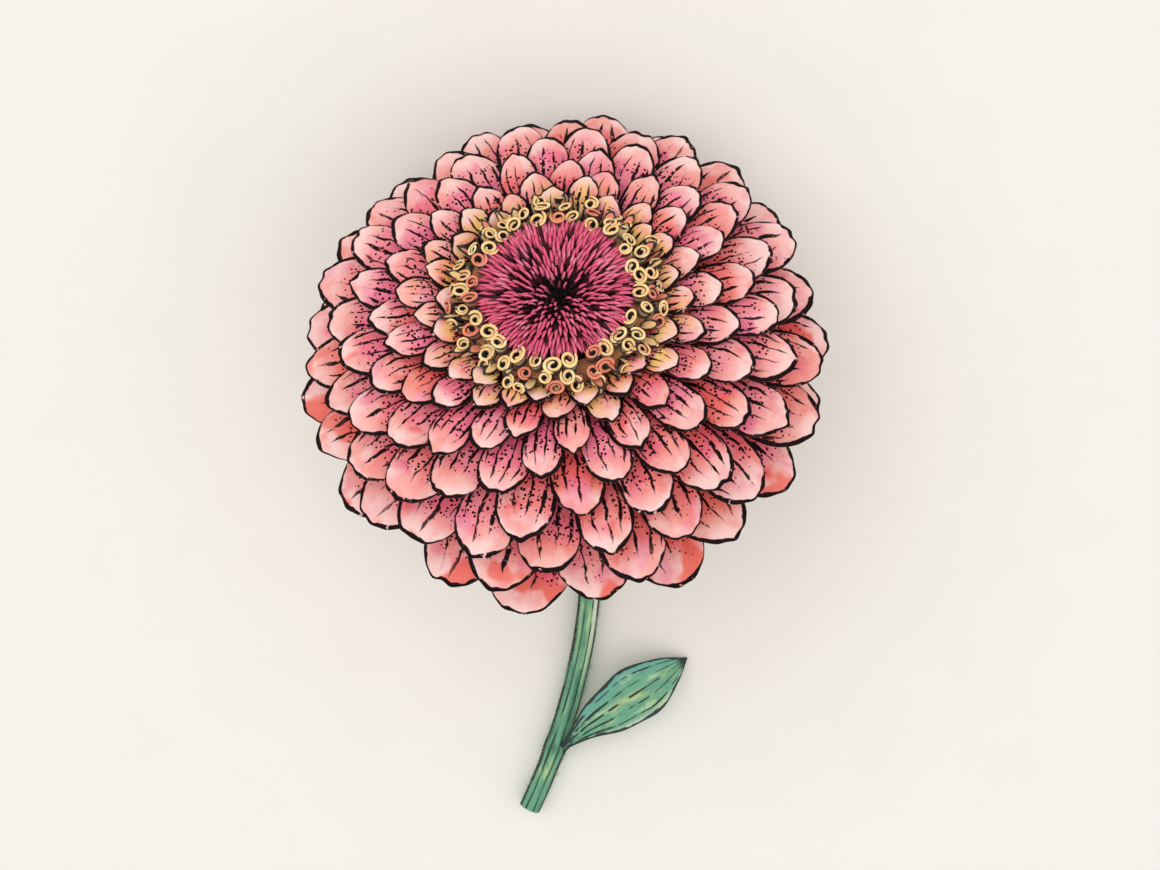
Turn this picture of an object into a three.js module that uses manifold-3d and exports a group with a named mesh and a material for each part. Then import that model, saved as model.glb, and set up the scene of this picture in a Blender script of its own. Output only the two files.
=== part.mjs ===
// A cut zinnia laid face up on a table: a fully double bloom on a short, bent stem with one leaf.
// Millimetres, +Z up. The table is z = 0, the stem runs towards -Y, and the origin is under the
// middle of the whole flower.
import * as THREE from "three";
import { mergeVertices } from "three/addons/utils/BufferGeometryUtils.js";
import Module from "manifold-3d";

const wasm = await Module();
wasm.setup();

const DEGREE = Math.PI / 180;
const UP = new THREE.Vector3(0, 0, 1);
const GOLDEN_ANGLE = 180 * (3 - Math.sqrt(5)) * DEGREE;
const GAP = 0.3; // clear space between neighbouring pieces

// The bloom has a frame of its own: +Z is the way it faces, and z = 0 is its widest row of petals.
const BLOOM_RADIUS = 50.2;
const BLOOM_CROWN = 31; // height of the petals' dome above the widest row
const BLOOM_POWER = 2.3; // of the dome's superellipse; at 2 it would be a plain ellipse
const BLOOM_LEAN = 36 * DEGREE; // from straight up towards +Y
const BLOOM_TURN = 6.2 * DEGREE; // of that lean, towards -X
const BLOOM_CENTRE = new THREE.Vector3(0.15, 24.93, 28.2);

// Ray petals, in one golden-angle spiral from the disc (share 0) down to the lowest row (share 1).
const PETAL_COUNT = 147;
const PETAL_CROWDING = 1.5; // over 1 sets the inner petals closer together than the outer ones
const FIRST_PETAL = 120 * DEGREE; // which way the spiral's first petal points
const PETAL_THICKNESS = 0.9;
const TIP_POLAR = [23 * DEGREE, 98.5 * DEGREE]; // where the tips lie on the dome, from its axis
const ROOT_HEIGHT = [26, 2];
const ROOT_RADIUS = [17.2, 14.2];
const ROOT_SLOPE = [38 * DEGREE, 3 * DEGREE];
const TIP_SLOPE = [-4 * DEGREE, -24 * DEGREE];
const HALF_WIDTH = [2.9, 7.9];
const CLAW_BREADTH = 0.34; // at a petal's root, as a share of its full width
const WIDEST_AT = 0.6; // share along, where the claw and shoulders pass into the round tip
const TIP_STRETCH = 1.15; // the tip is half an ellipse, this much longer than it is wide
const TIP_CORNER = 46 * DEGREE; // how far round that ellipse the blade's sides run
const ARCH = 0.2; // how far the margins fall, as a share of the half width
const ARCH_FROM = 0.6; // the claw is flat, and from this share along the arch is full
const HANDLE_REACH = 0.4; // of a petal's length, from each end of its curve to that end's handle
const PETAL_SWAY = { polar: 0.012, size: 0.02, width: 0.07, roll: 0.07, azimuth: 2.5 * DEGREE };
const CLAW = [-1, 0, 1];
const SMALL_SHARE = 0.28; // petals up to this share have few facets
const SMALL_PETAL_ROWS = [
  [0, CLAW],
  [0.42, CLAW],
  [0.84, [-1, -0.4, 0.4, 1]],
  [1, [-1, -0.4, 0.4, 1]],
];
const LARGE_PETAL_ROWS = [
  [0, CLAW],
  [0.36, CLAW],
  [0.62, [-1, -0.5, 0, 0.5, 1]],
  [0.85, [-1, -0.5, 0, 0.5, 1]],
  [1, [-1, -0.55, 0, 0.55, 1]],
];
const PRESS_SOFTNESS = 1.3; // how gently a petal that meets the table turns along it

// The solid middle that the petals stand out of, with its flat top under the disc.
const CORE_TOP = 27.2;
const CORE_PROFILE = [
  [0, -1.6],
  [12.4, -1.6],
  [15.8, 2],
  [17.8, 12],
  [18.1, 23],
  [17.6, CORE_TOP],
  [0, CORE_TOP],
];

// The disc: a ring of small rolled florets round a middle of pointed scales.
const DISC_BASE = CORE_TOP + GAP;
const MIDDLE_RADIUS = 13.9;
const MIDDLE_PROFILE = [
  [0, DISC_BASE],
  [13.6, DISC_BASE],
  [13.7, 29.4],
  [12.2, 30.6],
  [8, 31],
  [4, 30.4],
  [0, 29.6],
];
const SCALE_COUNT = 110;
const SCALE_LENGTH = [2.2, 4.6]; // at the centre and at the rim
const SCALE_RISE = [80 * DEGREE, 26 * DEGREE];
const SCALE_SWAY = 6 * DEGREE;
const SCALE_RADIUS = 0.62;
const SCALE_FLATNESS = 0.6;
const SCALE_SUNK = 0.9;
const INNERMOST = 0.2; // no scale springs nearer the middle than this
const RING_PROFILE = [
  [14.1, DISC_BASE],
  [16.9, DISC_BASE],
  [17.2, 28.6],
  [14.2, 28.9],
];
const FLORET_COUNT = 26;
const FLORET_CIRCLE = 16;
const FLORET_ROOT = DISC_BASE + 0.4;
const FLORET_HEIGHT = 4;
const FLORET_LEAN = 5 * DEGREE;
const FLORET_SWAY = { lean: 0.4, circle: 0.3, height: 0.2, place: 0.12 };
const SCROLL = { inner: 0.4, outer: 1.65, turns: 1.15, wall: 0.6, steps: 7 };
const SCROLL_HOLLOW = 0.1; // radius that the scroll's inner end keeps

// The green cup of scale-like bracts behind the petals.
const CUP_BOTTOM = -14;
const CUP_TOP = CORE_PROFILE[0][1] - GAP;
const CUP_SIDE = new THREE.CubicBezierCurve(
  new THREE.Vector2(3.3, CUP_BOTTOM),
  new THREE.Vector2(9.6, -13.6),
  new THREE.Vector2(12.2, -7),
  new THREE.Vector2(15, 0.7),
);
const CUP_SHARE = 0.86; // of that side which is the solid cup; the topmost bracts run on past it
const CUP_INSET = 0.2; // of the solid cup inside that side
const CUP_STEPS = 4;
const BRACT_ROWS = 3;
const BRACTS_IN_ROW = 9;
const BRACT_HALF_WIDTH = [4.8, 3.8]; // in the topmost row and in the lowest
const BRACT_THICKNESS = 0.8;
const BRACT_STAND = [-0.75, 1.1]; // off the cup, at a bract's root and at its tip
const BRACT_START = [0.6, 0.16]; // where those rows spring from along the side
const BRACT_SPAN = 0.4; // of the side that one bract covers
const BRACT_ROOT_BREADTH = 0.45;
const BRACT_ROUNDING = 0.16; // how far its corners fall back, as a share of its length
const BRACT_SWAY = { start: 0.02, place: 0.1 };
const BRACT_ROWS_ALONG = [0, 0.55, 0.88, 1];

// The stem, from the neck under the cup down to the table, and along it to the cut end.
const STEM_RADIUS = 2.1;
const NECK_RADIUS = 3;
const NECK_TAPER = 16;
const STEM_RIDGE = 0.05; // the ribs' height as a share of the radius
const STEM_SIDES = 10;
const STEM_STEPS = 34;
const TOUCHDOWN = new THREE.Vector3(4.6, -44, STEM_RADIUS); // seen from the bloom's centre
const CUT_END = new THREE.Vector3(-7.8, -95.1, STEM_RADIUS);
const TOUCHDOWN_REACH = 17;
const CUT_DIRECTION = new THREE.Vector3(-0.42, -0.9, 0);

// The one leaf, which springs from a knuckle on the stem.
const LEAF_COURSE = [
  new THREE.Vector3(-2.2, -83.6, 3),
  new THREE.Vector3(4, -74.6, 7.8),
  new THREE.Vector3(15, -69.8, 6.8),
  new THREE.Vector3(24.1, -64, 0.7),
];
const LEAF_HALF_WIDTH = 5.7;
const LEAF_END_HALF_WIDTH = 0.9;
const LEAF_TIP_SHARE = 0.3; // of that width, which the blunt tip keeps
const LEAF_THICKNESS = 0.9;
const LEAF_FOLD = 0.16; // how steeply both halves rise from the midrib
const LEAF_ROWS_ALONG = [0, 0.12, 0.25, 0.4, 0.55, 0.7, 0.82, 0.92, 1];
const KNUCKLE_AT = 0.853; // along the stem
const KNUCKLE_SPREAD = 0.02;
const KNUCKLE_SWELL = 0.1;

const mix = (range, share) => range[0] + (range[1] - range[0]) * share;
const square = (x) => x * x;

// A repeatable draw from 0 to 1 for one piece and one of its traits.
const chance = (index, trait) => {
  const wave = Math.sin(index * 12.9898 + trait * 78.233) * 43758.5453;
  return wave - Math.floor(wave);
};
const sway = (index, trait) => 2 * chance(index, trait) - 1;

// Turns a closed geometry into a solid that can be joined and cut.
function solidOf(geometry) {
  const bare = geometry.clone();
  bare.deleteAttribute("normal");
  bare.deleteAttribute("uv");
  const merged = mergeVertices(bare, 1e-4);
  const kept = [];
  const corners = merged.index.array;
  for (let i = 0; i < corners.length; i += 3) {
    const [a, b, c] = corners.slice(i, i + 3);
    if (a !== b && b !== c && a !== c) kept.push(a, b, c);
  }
  return new wasm.Manifold(
    new wasm.Mesh({
      numProp: 3,
      vertProperties: new Float32Array(merged.attributes.position.array),
      triVerts: new Uint32Array(kept),
    }),
  );
}

// A solid's surface as a three.js geometry.
function geometryOf(solid) {
  const mesh = solid.getMesh();
  const places = new Float32Array(mesh.numVert * 3);
  for (let i = 0; i < mesh.numVert; i++) {
    const from = i * mesh.numProp;
    places.set(mesh.vertProperties.subarray(from, from + 3), i * 3);
  }
  const geometry = new THREE.BufferGeometry();
  geometry.setAttribute("position", new THREE.BufferAttribute(places, 3));
  geometry.setIndex(new THREE.BufferAttribute(new Uint32Array(mesh.triVerts), 1));
  const flat = geometry.toNonIndexed();
  flat.computeVertexNormals();
  return flat;
}

const joined = (solids) => solids.reduce((whole, next) => whole.add(next));

// A closed blade from rows of shares across, each at its share along. place(along, across, side)
// gives each point: side is 1 on the upper face, -1 on the lower one and 0 on the thin rim. Both
// faces are split into triangles alike, and the root end is blunt.
function bladeGeometry(rows, place) {
  const points = [];
  const faces = [];
  const add = (point) => points.push(point.x, point.y, point.z) / 3 - 1;
  const upper = [];
  const lower = [];
  rows.forEach(([along, acrosses], i) => {
    const onRim = (j) => i === rows.length - 1 || j === 0 || j === acrosses.length - 1;
    upper.push(acrosses.map((across, j) => add(place(along, across, onRim(j) ? 0 : 1))));
    lower.push(
      acrosses.map((across, j) => (onRim(j) ? upper[i][j] : add(place(along, across, -1)))),
    );
  });
  for (let row = 0; row < rows.length - 1; row++) {
    const [near, far] = [rows[row][1], rows[row + 1][1]];
    let [i, j] = [0, 0];
    while (i < near.length - 1 || j < far.length - 1) {
      const onFarRow = i === near.length - 1 || far[j + 1] <= near[i + 1];
      const [a, b] = [upper[row][i], upper[row + 1][j]];
      const [c, d] = [lower[row][i], lower[row + 1][j]];
      if (onFarRow) j++;
      else i++;
      faces.push(a, b, onFarRow ? upper[row + 1][j] : upper[row][i]);
      faces.push(c, onFarRow ? lower[row + 1][j] : lower[row][i], d);
    }
  }
  for (let j = 0; j < rows[0][1].length - 1; j++) {
    faces.push(upper[0][j], upper[0][j + 1], lower[0][j + 1]);
    faces.push(upper[0][j], lower[0][j + 1], lower[0][j]);
  }
  const geometry = new THREE.BufferGeometry();
  geometry.setAttribute("position", new THREE.Float32BufferAttribute(points, 3));
  geometry.setIndex(faces);
  return geometry;
}

function latheSolid(profile, segments) {
  const outline = profile.map(([radius, height]) => new THREE.Vector2(radius, height));
  return solidOf(new THREE.LatheGeometry(outline, segments).rotateX(90 * DEGREE));
}

const bloom = new THREE.Group();
bloom.position.copy(BLOOM_CENTRE);
bloom.rotation.set(-BLOOM_LEAN, 0, BLOOM_TURN, "ZYX");
bloom.updateMatrixWorld(true);
const bloomInverse = bloom.matrixWorld.clone().invert();

// A point on one face of a petal, or on its rim. Where its middle surface would pass through the
// table, it bends along it instead, until the petal's underside lies flat.
function pressed(middle, outward, side) {
  const point = middle.clone().applyMatrix4(bloom.matrixWorld);
  const normal = outward.clone().transformDirection(bloom.matrixWorld);
  const half = PETAL_THICKNESS / 2;
  const free = Math.max(0, Math.min(1, (1 + (point.z - half) / PRESS_SOFTNESS) / 2));
  if (free < 1) {
    point.z = half + PRESS_SOFTNESS * square(free);
    normal.lerp(UP, 1 - free).normalize();
  }
  const offset = side === 0 ? free - 1 : side;
  return point.addScaledVector(normal, offset * half).applyMatrix4(bloomInverse);
}

// Where a point of a petal lies when the petal is spread flat: to the side and along its length.
function petalLayout(along, across, halfWidth, length) {
  const toWidest = Math.min(along / WIDEST_AT, 1);
  const pastWidest = Math.max(along - WIDEST_AT, 0) / (1 - WIDEST_AT);
  const rising = Math.sin(toWidest * 90 * DEGREE) ** 1.3;
  const sideAngle = across * (90 * DEGREE - TIP_CORNER * pastWidest);
  const sideways = halfWidth * mix([CLAW_BREADTH, 1], rising) * Math.sin(sideAngle);
  const tipLength = TIP_STRETCH * halfWidth;
  const round = Math.cos(across * (90 * DEGREE - TIP_CORNER)) / Math.sin(TIP_CORNER);
  const lengthwise = (length - tipLength) * toWidest;
  return [sideways, lengthwise + tipLength * round * Math.sin(TIP_CORNER * pastWidest)];
}

// A point of the dome's outline at an angle from its axis: its radius and its height.
function domeOutline(polar, size) {
  const power = 2 / BLOOM_POWER;
  const height = Math.sign(Math.cos(polar)) * Math.abs(Math.cos(polar)) ** power;
  return new THREE.Vector2(BLOOM_RADIUS * Math.sin(polar) ** power, BLOOM_CROWN * height)
    .multiplyScalar(size);
}

function petalGeometry(index) {
  const share = (index / (PETAL_COUNT - 1)) ** PETAL_CROWDING;
  const polar = mix(TIP_POLAR, share) * (1 + PETAL_SWAY.polar * sway(index, 1));
  const size = 1 + PETAL_SWAY.size * sway(index, 2);
  const root = new THREE.Vector2(mix(ROOT_RADIUS, share), mix(ROOT_HEIGHT, share));
  const tip = domeOutline(polar, size);
  const length = root.distanceTo(tip);
  const direction = (slope) => new THREE.Vector2(Math.cos(slope), Math.sin(slope));
  const rootWay = direction(mix(ROOT_SLOPE, share)).multiplyScalar(HANDLE_REACH * length);
  const tipWay = direction(mix(TIP_SLOPE, share)).multiplyScalar(HANDLE_REACH * length);
  const course = new THREE.CubicBezierCurve(
    root,
    root.clone().add(rootWay),
    tip.clone().sub(tipWay),
    tip,
  );
  const halfWidth = mix(HALF_WIDTH, share) * (1 + PETAL_SWAY.width * sway(index, 3));
  const roll = PETAL_SWAY.roll * sway(index, 4);
  const azimuth = FIRST_PETAL + index * GOLDEN_ANGLE + PETAL_SWAY.azimuth * sway(index, 5);

  const place = (along, across, side) => {
    const [sideways, lengthwise] = petalLayout(along, across, halfWidth, length);
    const middle = course.getPoint(lengthwise / length);
    const slope = course.getTangent(lengthwise / length);
    const settle = square(Math.sin(Math.min(1, along / ARCH_FROM) * 90 * DEGREE));
    const sag = (ARCH * square(sideways) * settle) / halfWidth;
    const lift = roll * sideways * along - sag;
    const onSurface = new THREE.Vector3(
      middle.x - slope.y * lift,
      sideways,
      middle.y + slope.x * lift,
    );
    const outward = new THREE.Vector3(-slope.y, 0, slope.x).applyAxisAngle(UP, azimuth);
    return pressed(onSurface.applyAxisAngle(UP, azimuth), outward, side);
  };
  return bladeGeometry(share < SMALL_SHARE ? SMALL_PETAL_ROWS : LARGE_PETAL_ROWS, place);
}

function petalsSolid() {
  const solids = [latheSolid(CORE_PROFILE, 20)];
  for (let index = 0; index < PETAL_COUNT; index++) {
    solids.push(solidOf(petalGeometry(index)));
  }
  return joined(solids);
}

// The disc's middle: pointed scales that lean outwards, shortest and steepest at the centre.
function discMiddleSolid() {
  const solids = [latheSolid(MIDDLE_PROFILE, 20)];
  const surface = new THREE.SplineCurve(
    MIDDLE_PROFILE.slice(2).map(([radius, height]) => new THREE.Vector2(radius, height)),
  );
  for (let index = 0; index < SCALE_COUNT; index++) {
    const share = Math.sqrt((index + 0.5) / SCALE_COUNT);
    const length = mix(SCALE_LENGTH, share);
    const rise = mix(SCALE_RISE, share) + SCALE_SWAY * sway(index, 6);
    const reach = length * Math.cos(rise);
    const inTurn = share * MIDDLE_RADIUS - reach / 4;
    const radius = Math.max(INNERMOST, Math.min(inTurn, MIDDLE_RADIUS - reach));
    const height = surface.getPoint(1 - Math.min(1, radius / MIDDLE_RADIUS)).y;
    const scale = new THREE.ConeGeometry(SCALE_RADIUS, length, 3);
    scale.scale(1, 1, SCALE_FLATNESS);
    scale.translate(0, length / 2 - SCALE_SUNK, 0);
    scale.rotateZ(rise - 90 * DEGREE);
    scale.rotateX(90 * DEGREE);
    scale.translate(radius, 0, height);
    scale.rotateZ(index * GOLDEN_ANGLE);
    solids.push(solidOf(scale));
  }
  return joined(solids);
}

// One rolled floret: a band coiled like a scroll, open at its top.
function scrollGeometry() {
  const outside = [];
  const inside = [];
  for (let step = 0; step <= SCROLL.steps; step++) {
    const share = step / SCROLL.steps;
    const angle = share * SCROLL.turns * 360 * DEGREE;
    const radius = mix([SCROLL.inner, SCROLL.outer], share);
    const at = (r) => new THREE.Vector2(r * Math.cos(angle), r * Math.sin(angle));
    outside.push(at(radius + SCROLL.wall / 2));
    inside.push(at(Math.max(SCROLL_HOLLOW, radius - SCROLL.wall / 2)));
  }
  const shape = new THREE.Shape([...outside, ...inside.reverse()]);
  return new THREE.ExtrudeGeometry(shape, { depth: FLORET_HEIGHT, bevelEnabled: false });
}

function discFloretsSolid() {
  const solids = [latheSolid([...RING_PROFILE, RING_PROFILE[0]], FLORET_COUNT)];
  for (let index = 0; index < FLORET_COUNT; index++) {
    const lean = FLORET_LEAN * (1 + FLORET_SWAY.lean * sway(index, 8));
    const out = FLORET_CIRCLE + FLORET_SWAY.circle * sway(index, 9);
    const up = FLORET_ROOT + FLORET_SWAY.height * sway(index, 10);
    const round = (index + FLORET_SWAY.place * sway(index, 11)) / FLORET_COUNT;
    const scroll = scrollGeometry();
    scroll.rotateZ(360 * DEGREE * chance(index, 7));
    scroll.rotateY(lean);
    scroll.translate(out, 0, up);
    scroll.rotateZ(round * 360 * DEGREE);
    solids.push(solidOf(scroll));
  }
  return joined(solids);
}

// The bracts wrap the cup in staggered rows, like tiles, with their tips a little free.
function bractGeometry(row, index) {
  const share = row / (BRACT_ROWS - 1);
  const number = row * BRACTS_IN_ROW + index;
  const start = mix(BRACT_START, share) - BRACT_SWAY.start * chance(number, 12);
  const halfWidth = mix(BRACT_HALF_WIDTH, share);
  const round = (index + row / 2 + BRACT_SWAY.place * sway(number, 13)) / BRACTS_IN_ROW;
  const breadth = (along) => mix([BRACT_ROOT_BREADTH, 1], Math.sin(along * 120 * DEGREE));
  const place = (along, across, side) => {
    const rounding = BRACT_ROUNDING * (1 - Math.sqrt(1 - square(0.8 * across)));
    const at = start + BRACT_SPAN * along * (1 - rounding * along);
    const middle = CUP_SIDE.getPoint(at);
    const slope = CUP_SIDE.getTangent(at);
    const stand = mix(BRACT_STAND, along) + (side * BRACT_THICKNESS) / 2;
    const radius = middle.x + slope.y * stand;
    const sideways = across * halfWidth * breadth(along);
    const angle = round * 360 * DEGREE - sideways / radius;
    const height = middle.y - slope.x * stand;
    return new THREE.Vector3(radius * Math.cos(angle), radius * Math.sin(angle), height);
  };
  const rows = BRACT_ROWS_ALONG.map((along) => [along, [-1, 0, 1]]);
  return bladeGeometry(rows, place);
}

function involucreSolid() {
  const profile = [[0, CUP_BOTTOM]];
  for (let step = 0; step <= CUP_STEPS; step++) {
    const point = CUP_SIDE.getPoint((CUP_SHARE * step) / CUP_STEPS);
    profile.push([point.x - CUP_INSET, Math.min(point.y, CUP_TOP)]);
  }
  profile.push([0, profile.at(-1)[1]]);
  const solids = [latheSolid(profile, 16)];
  for (let row = 0; row < BRACT_ROWS; row++) {
    for (let index = 0; index < BRACTS_IN_ROW; index++) {
      solids.push(solidOf(bractGeometry(row, index)));
    }
  }
  return joined(solids);
}

// The stem's centreline: from the neck in one bend to the table, then along it to the cut.
const bloomFacing = UP.clone().transformDirection(bloom.matrixWorld);
const onTable = (point) => new THREE.Vector3(BLOOM_CENTRE.x, BLOOM_CENTRE.y, 0).add(point);
const neck = BLOOM_CENTRE.clone().addScaledVector(bloomFacing, CUP_BOTTOM - GAP);
const touchdown = onTable(TOUCHDOWN);
const cutEnd = onTable(CUT_END);
const stemCourse = new THREE.CurvePath();
stemCourse.add(
  new THREE.CubicBezierCurve3(
    neck,
    neck.clone().addScaledVector(bloomFacing, -TOUCHDOWN_REACH),
    touchdown.clone().add(new THREE.Vector3(0, TOUCHDOWN_REACH, 0)),
    touchdown,
  ),
);
stemCourse.add(
  new THREE.CubicBezierCurve3(
    touchdown,
    touchdown.clone().add(new THREE.Vector3(0, -TOUCHDOWN_REACH, 0)),
    cutEnd.clone().addScaledVector(CUT_DIRECTION, -TOUCHDOWN_REACH),
    cutEnd,
  ),
);

function stemGeometry(extra = 0) {
  const path = new THREE.CatmullRomCurve3(stemCourse.getSpacedPoints(60));
  const frames = path.computeFrenetFrames(STEM_STEPS);
  const length = path.getLength();
  const points = [];
  for (let step = 0; step <= STEM_STEPS; step++) {
    const share = step / STEM_STEPS;
    const middle = path.getPointAt(share);
    const fromNeck = share * length;
    const flare = (NECK_RADIUS - STEM_RADIUS) * Math.exp(-square(fromNeck / (NECK_TAPER / 2)));
    const knuckle = KNUCKLE_SWELL * Math.exp(-square((share - KNUCKLE_AT) / KNUCKLE_SPREAD));
    const radius = (STEM_RADIUS + flare) * (1 + knuckle) + extra;
    for (let side = 0; side < STEM_SIDES; side++) {
      const angle = (side / STEM_SIDES) * 360 * DEGREE;
      const rib = radius * (1 + (side % 2 ? -STEM_RIDGE : STEM_RIDGE));
      const point = middle
        .clone()
        .addScaledVector(frames.normals[step], rib * Math.cos(angle))
        .addScaledVector(frames.binormals[step], rib * Math.sin(angle));
      point.z = Math.max(point.z, -extra);
      points.push(point.x, point.y, point.z);
    }
  }
  const faces = [];
  for (let step = 0; step < STEM_STEPS; step++) {
    for (let side = 0; side < STEM_SIDES; side++) {
      const next = (side + 1) % STEM_SIDES;
      const [a, b] = [step * STEM_SIDES + side, step * STEM_SIDES + next];
      faces.push(a, b, b + STEM_SIDES, a, b + STEM_SIDES, a + STEM_SIDES);
    }
  }
  const end = STEM_STEPS * STEM_SIDES;
  for (let side = 1; side < STEM_SIDES - 1; side++) {
    faces.push(0, side + 1, side);
    faces.push(end, end + side, end + side + 1);
  }
  const geometry = new THREE.BufferGeometry();
  geometry.setAttribute("position", new THREE.Float32BufferAttribute(points, 3));
  geometry.setIndex(faces);
  return geometry;
}

// Half the leaf's width at a share of its length: broadest past the middle, narrow at its root.
function leafHalfWidth(along) {
  const shape = Math.sin(Math.PI * Math.min(1, 0.05 + 0.95 * along) ** 1.55);
  const ending = along === 1 ? LEAF_TIP_SHARE : 1;
  return Math.max(LEAF_END_HALF_WIDTH, LEAF_HALF_WIDTH * shape) * ending;
}

function leafSolid() {
  const course = new THREE.CubicBezierCurve3(...LEAF_COURSE.map(onTable));
  const place = (along, across, side) => {
    const middle = course.getPoint(along);
    const way = course.getTangent(along);
    const sideWay = new THREE.Vector3().crossVectors(UP, way).normalize();
    const faceWay = new THREE.Vector3().crossVectors(way, sideWay).normalize();
    const sideways = across * leafHalfWidth(along);
    const rise = LEAF_FOLD * Math.abs(sideways) + (side * LEAF_THICKNESS) / 2;
    const point = middle.addScaledVector(sideWay, sideways).addScaledVector(faceWay, rise);
    point.z = Math.max(point.z, side > 0 ? LEAF_THICKNESS : 0);
    return point;
  };
  const rows = LEAF_ROWS_ALONG.map((along) => [along, [-1, -0.5, 0, 0.5, 1]]);
  const leaf = solidOf(bladeGeometry(rows, place));
  return leaf.subtract(solidOf(stemGeometry(GAP)));
}

function piece(name, solid, color, roughness) {
  const material = new THREE.MeshStandardMaterial({ color, roughness, metalness: 0 });
  const mesh = new THREE.Mesh(geometryOf(solid), material);
  mesh.name = name;
  return mesh;
}

bloom.add(
  piece("petals", petalsSolid(), 0xf2958f, 0.55),
  piece("disc_florets", discFloretsSolid(), 0xf6d27c, 0.6),
  piece("disc_middle", discMiddleSolid(), 0xdc5a7c, 0.6),
  piece("involucre", involucreSolid(), 0x6d9a5c, 0.65),
);

const flower = new THREE.Group();
flower.add(
  bloom,
  piece("stem", solidOf(stemGeometry()), 0x62a47e, 0.6),
  piece("leaf", leafSolid(), 0x6fb08a, 0.6),
);

export default flower;
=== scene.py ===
# %% [markdown]
# # A cut zinnia, laid face up on a table
#
# A double zinnia is built round one idea: everything on it follows a spiral. About 150 ray petals
# overlap like roof tiles, a ring of small yellow florets stands inside them, and the magenta
# middle is packed with pointed scales. Behind the bloom sit a green cup and a hairy stem with one
# leaf.
#
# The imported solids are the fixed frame. Every piece here is set from the same measures, in
# millimetres, and `shaped_copy` turns them into Blender's metres as it makes the mesh.

# %% Load the frame
import math

import bpy
import numpy as np
from mathutils import Matrix, Vector


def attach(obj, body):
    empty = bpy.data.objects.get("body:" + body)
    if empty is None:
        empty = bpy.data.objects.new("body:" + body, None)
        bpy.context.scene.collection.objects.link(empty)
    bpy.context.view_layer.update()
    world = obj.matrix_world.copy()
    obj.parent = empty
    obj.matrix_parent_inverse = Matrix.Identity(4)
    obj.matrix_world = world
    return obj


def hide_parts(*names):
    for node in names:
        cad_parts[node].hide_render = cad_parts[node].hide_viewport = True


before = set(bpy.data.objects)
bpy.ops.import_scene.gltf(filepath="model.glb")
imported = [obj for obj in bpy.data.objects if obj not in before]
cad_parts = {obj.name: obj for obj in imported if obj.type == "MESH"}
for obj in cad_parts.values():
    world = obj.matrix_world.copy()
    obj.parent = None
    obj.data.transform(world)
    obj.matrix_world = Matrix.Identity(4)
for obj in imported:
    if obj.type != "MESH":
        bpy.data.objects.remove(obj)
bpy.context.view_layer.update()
SCENE = bpy.context.scene
MM_IN_METRE = 1000
print("CAD nodes:", sorted(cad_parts))

# %% [markdown]
# ## Small helpers
#
# A flower never repeats itself exactly, so each copy sways a little. The draw below gives the same
# number for the same copy and trait on every run, which keeps the flower the same each time. It is
# the draw that set the solids too, so the petals land where the solids are.

# %% Draws and blends of numbers
def mix(pair, share):
    return pair[0] + (pair[1] - pair[0]) * share


def chance(number, trait):
    """A draw from 0 to 1 for one copy and one trait of it."""
    wave = math.sin(number * 12.9898 + trait * 78.233) * 43758.5453
    return wave - math.floor(wave)


def sway(number, trait):
    """A draw from -1 to 1."""
    return 2 * chance(number, trait) - 1


def wave_start(number, trait):
    """Where in a wave one copy begins, from 0 to nearly one whole wave on."""
    return 6 * chance(number, trait)


GOLDEN_ANGLE = math.pi * (3 - math.sqrt(5))
print("golden angle:", round(math.degrees(GOLDEN_ANGLE), 2), "degrees")


# %% Points, directions and courses
def columns(*values):
    """One row of numbers for each vertex. A single number holds for all of them."""
    return np.column_stack(np.broadcast_arrays(*values))


def unit(ways):
    return ways / np.linalg.norm(ways, axis=1, keepdims=True)


def turned(points, angle):
    """Points turned about +Z."""
    cos, sin = math.cos(angle), math.sin(angle)
    x, y, z = np.asarray(points, float).T
    return columns(x * cos - y * sin, x * sin + y * cos, z)


def curve_point(handles, share):
    """Points on a cubic Bezier curve at each share, and the unit directions there."""
    a, b, c, d = [np.asarray(handle, float) for handle in handles]
    t = np.asarray(share, float)[:, None]
    point = (1 - t) ** 3 * a + 3 * (1 - t) ** 2 * t * b + 3 * (1 - t) * t**2 * c + t**3 * d
    way = (1 - t) ** 2 * (b - a) + 2 * (1 - t) * t * (c - b) + t**2 * (d - c)
    return point, unit(way)


def shares_along(points):
    """How far along a line each of its points lies, as a share of its length, and that length."""
    steps = np.linalg.norm(np.diff(points, axis=0), axis=1)
    return np.concatenate([[0], np.cumsum(steps)]) / steps.sum(), steps.sum()


def on_line(points, at, share):
    """Places at each share of a line whose own points lie at the shares in `at`."""
    return np.column_stack([np.interp(share, at, column) for column in points.T])


# %% [markdown]
# ## Meshes that are shaped by rule
#
# Each kind of piece starts as one blank: a grid with a thickness for a blade, or a cylinder cut
# into rings for anything round. The blank's own coordinates say where each vertex is along and
# across the piece, so one rule can bend every copy its own way. Modelling each petal by hand would
# take days, and one bent petal copied 147 times would look stamped.

# %% Make the blanks
def blade_blank(name, across, along):
    """A slab from -1 to 1 on all three axes, with that many faces across and along."""
    bpy.ops.object.select_all(action="DESELECT")
    bpy.ops.mesh.primitive_grid_add(x_subdivisions=across, y_subdivisions=along, size=2)
    blank = bpy.context.object
    blank.name = name
    wall = blank.modifiers.new("wall", "SOLIDIFY")
    wall.thickness = 2
    wall.offset = 0
    bpy.ops.object.modifier_apply(modifier=wall.name)
    return blank


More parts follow.
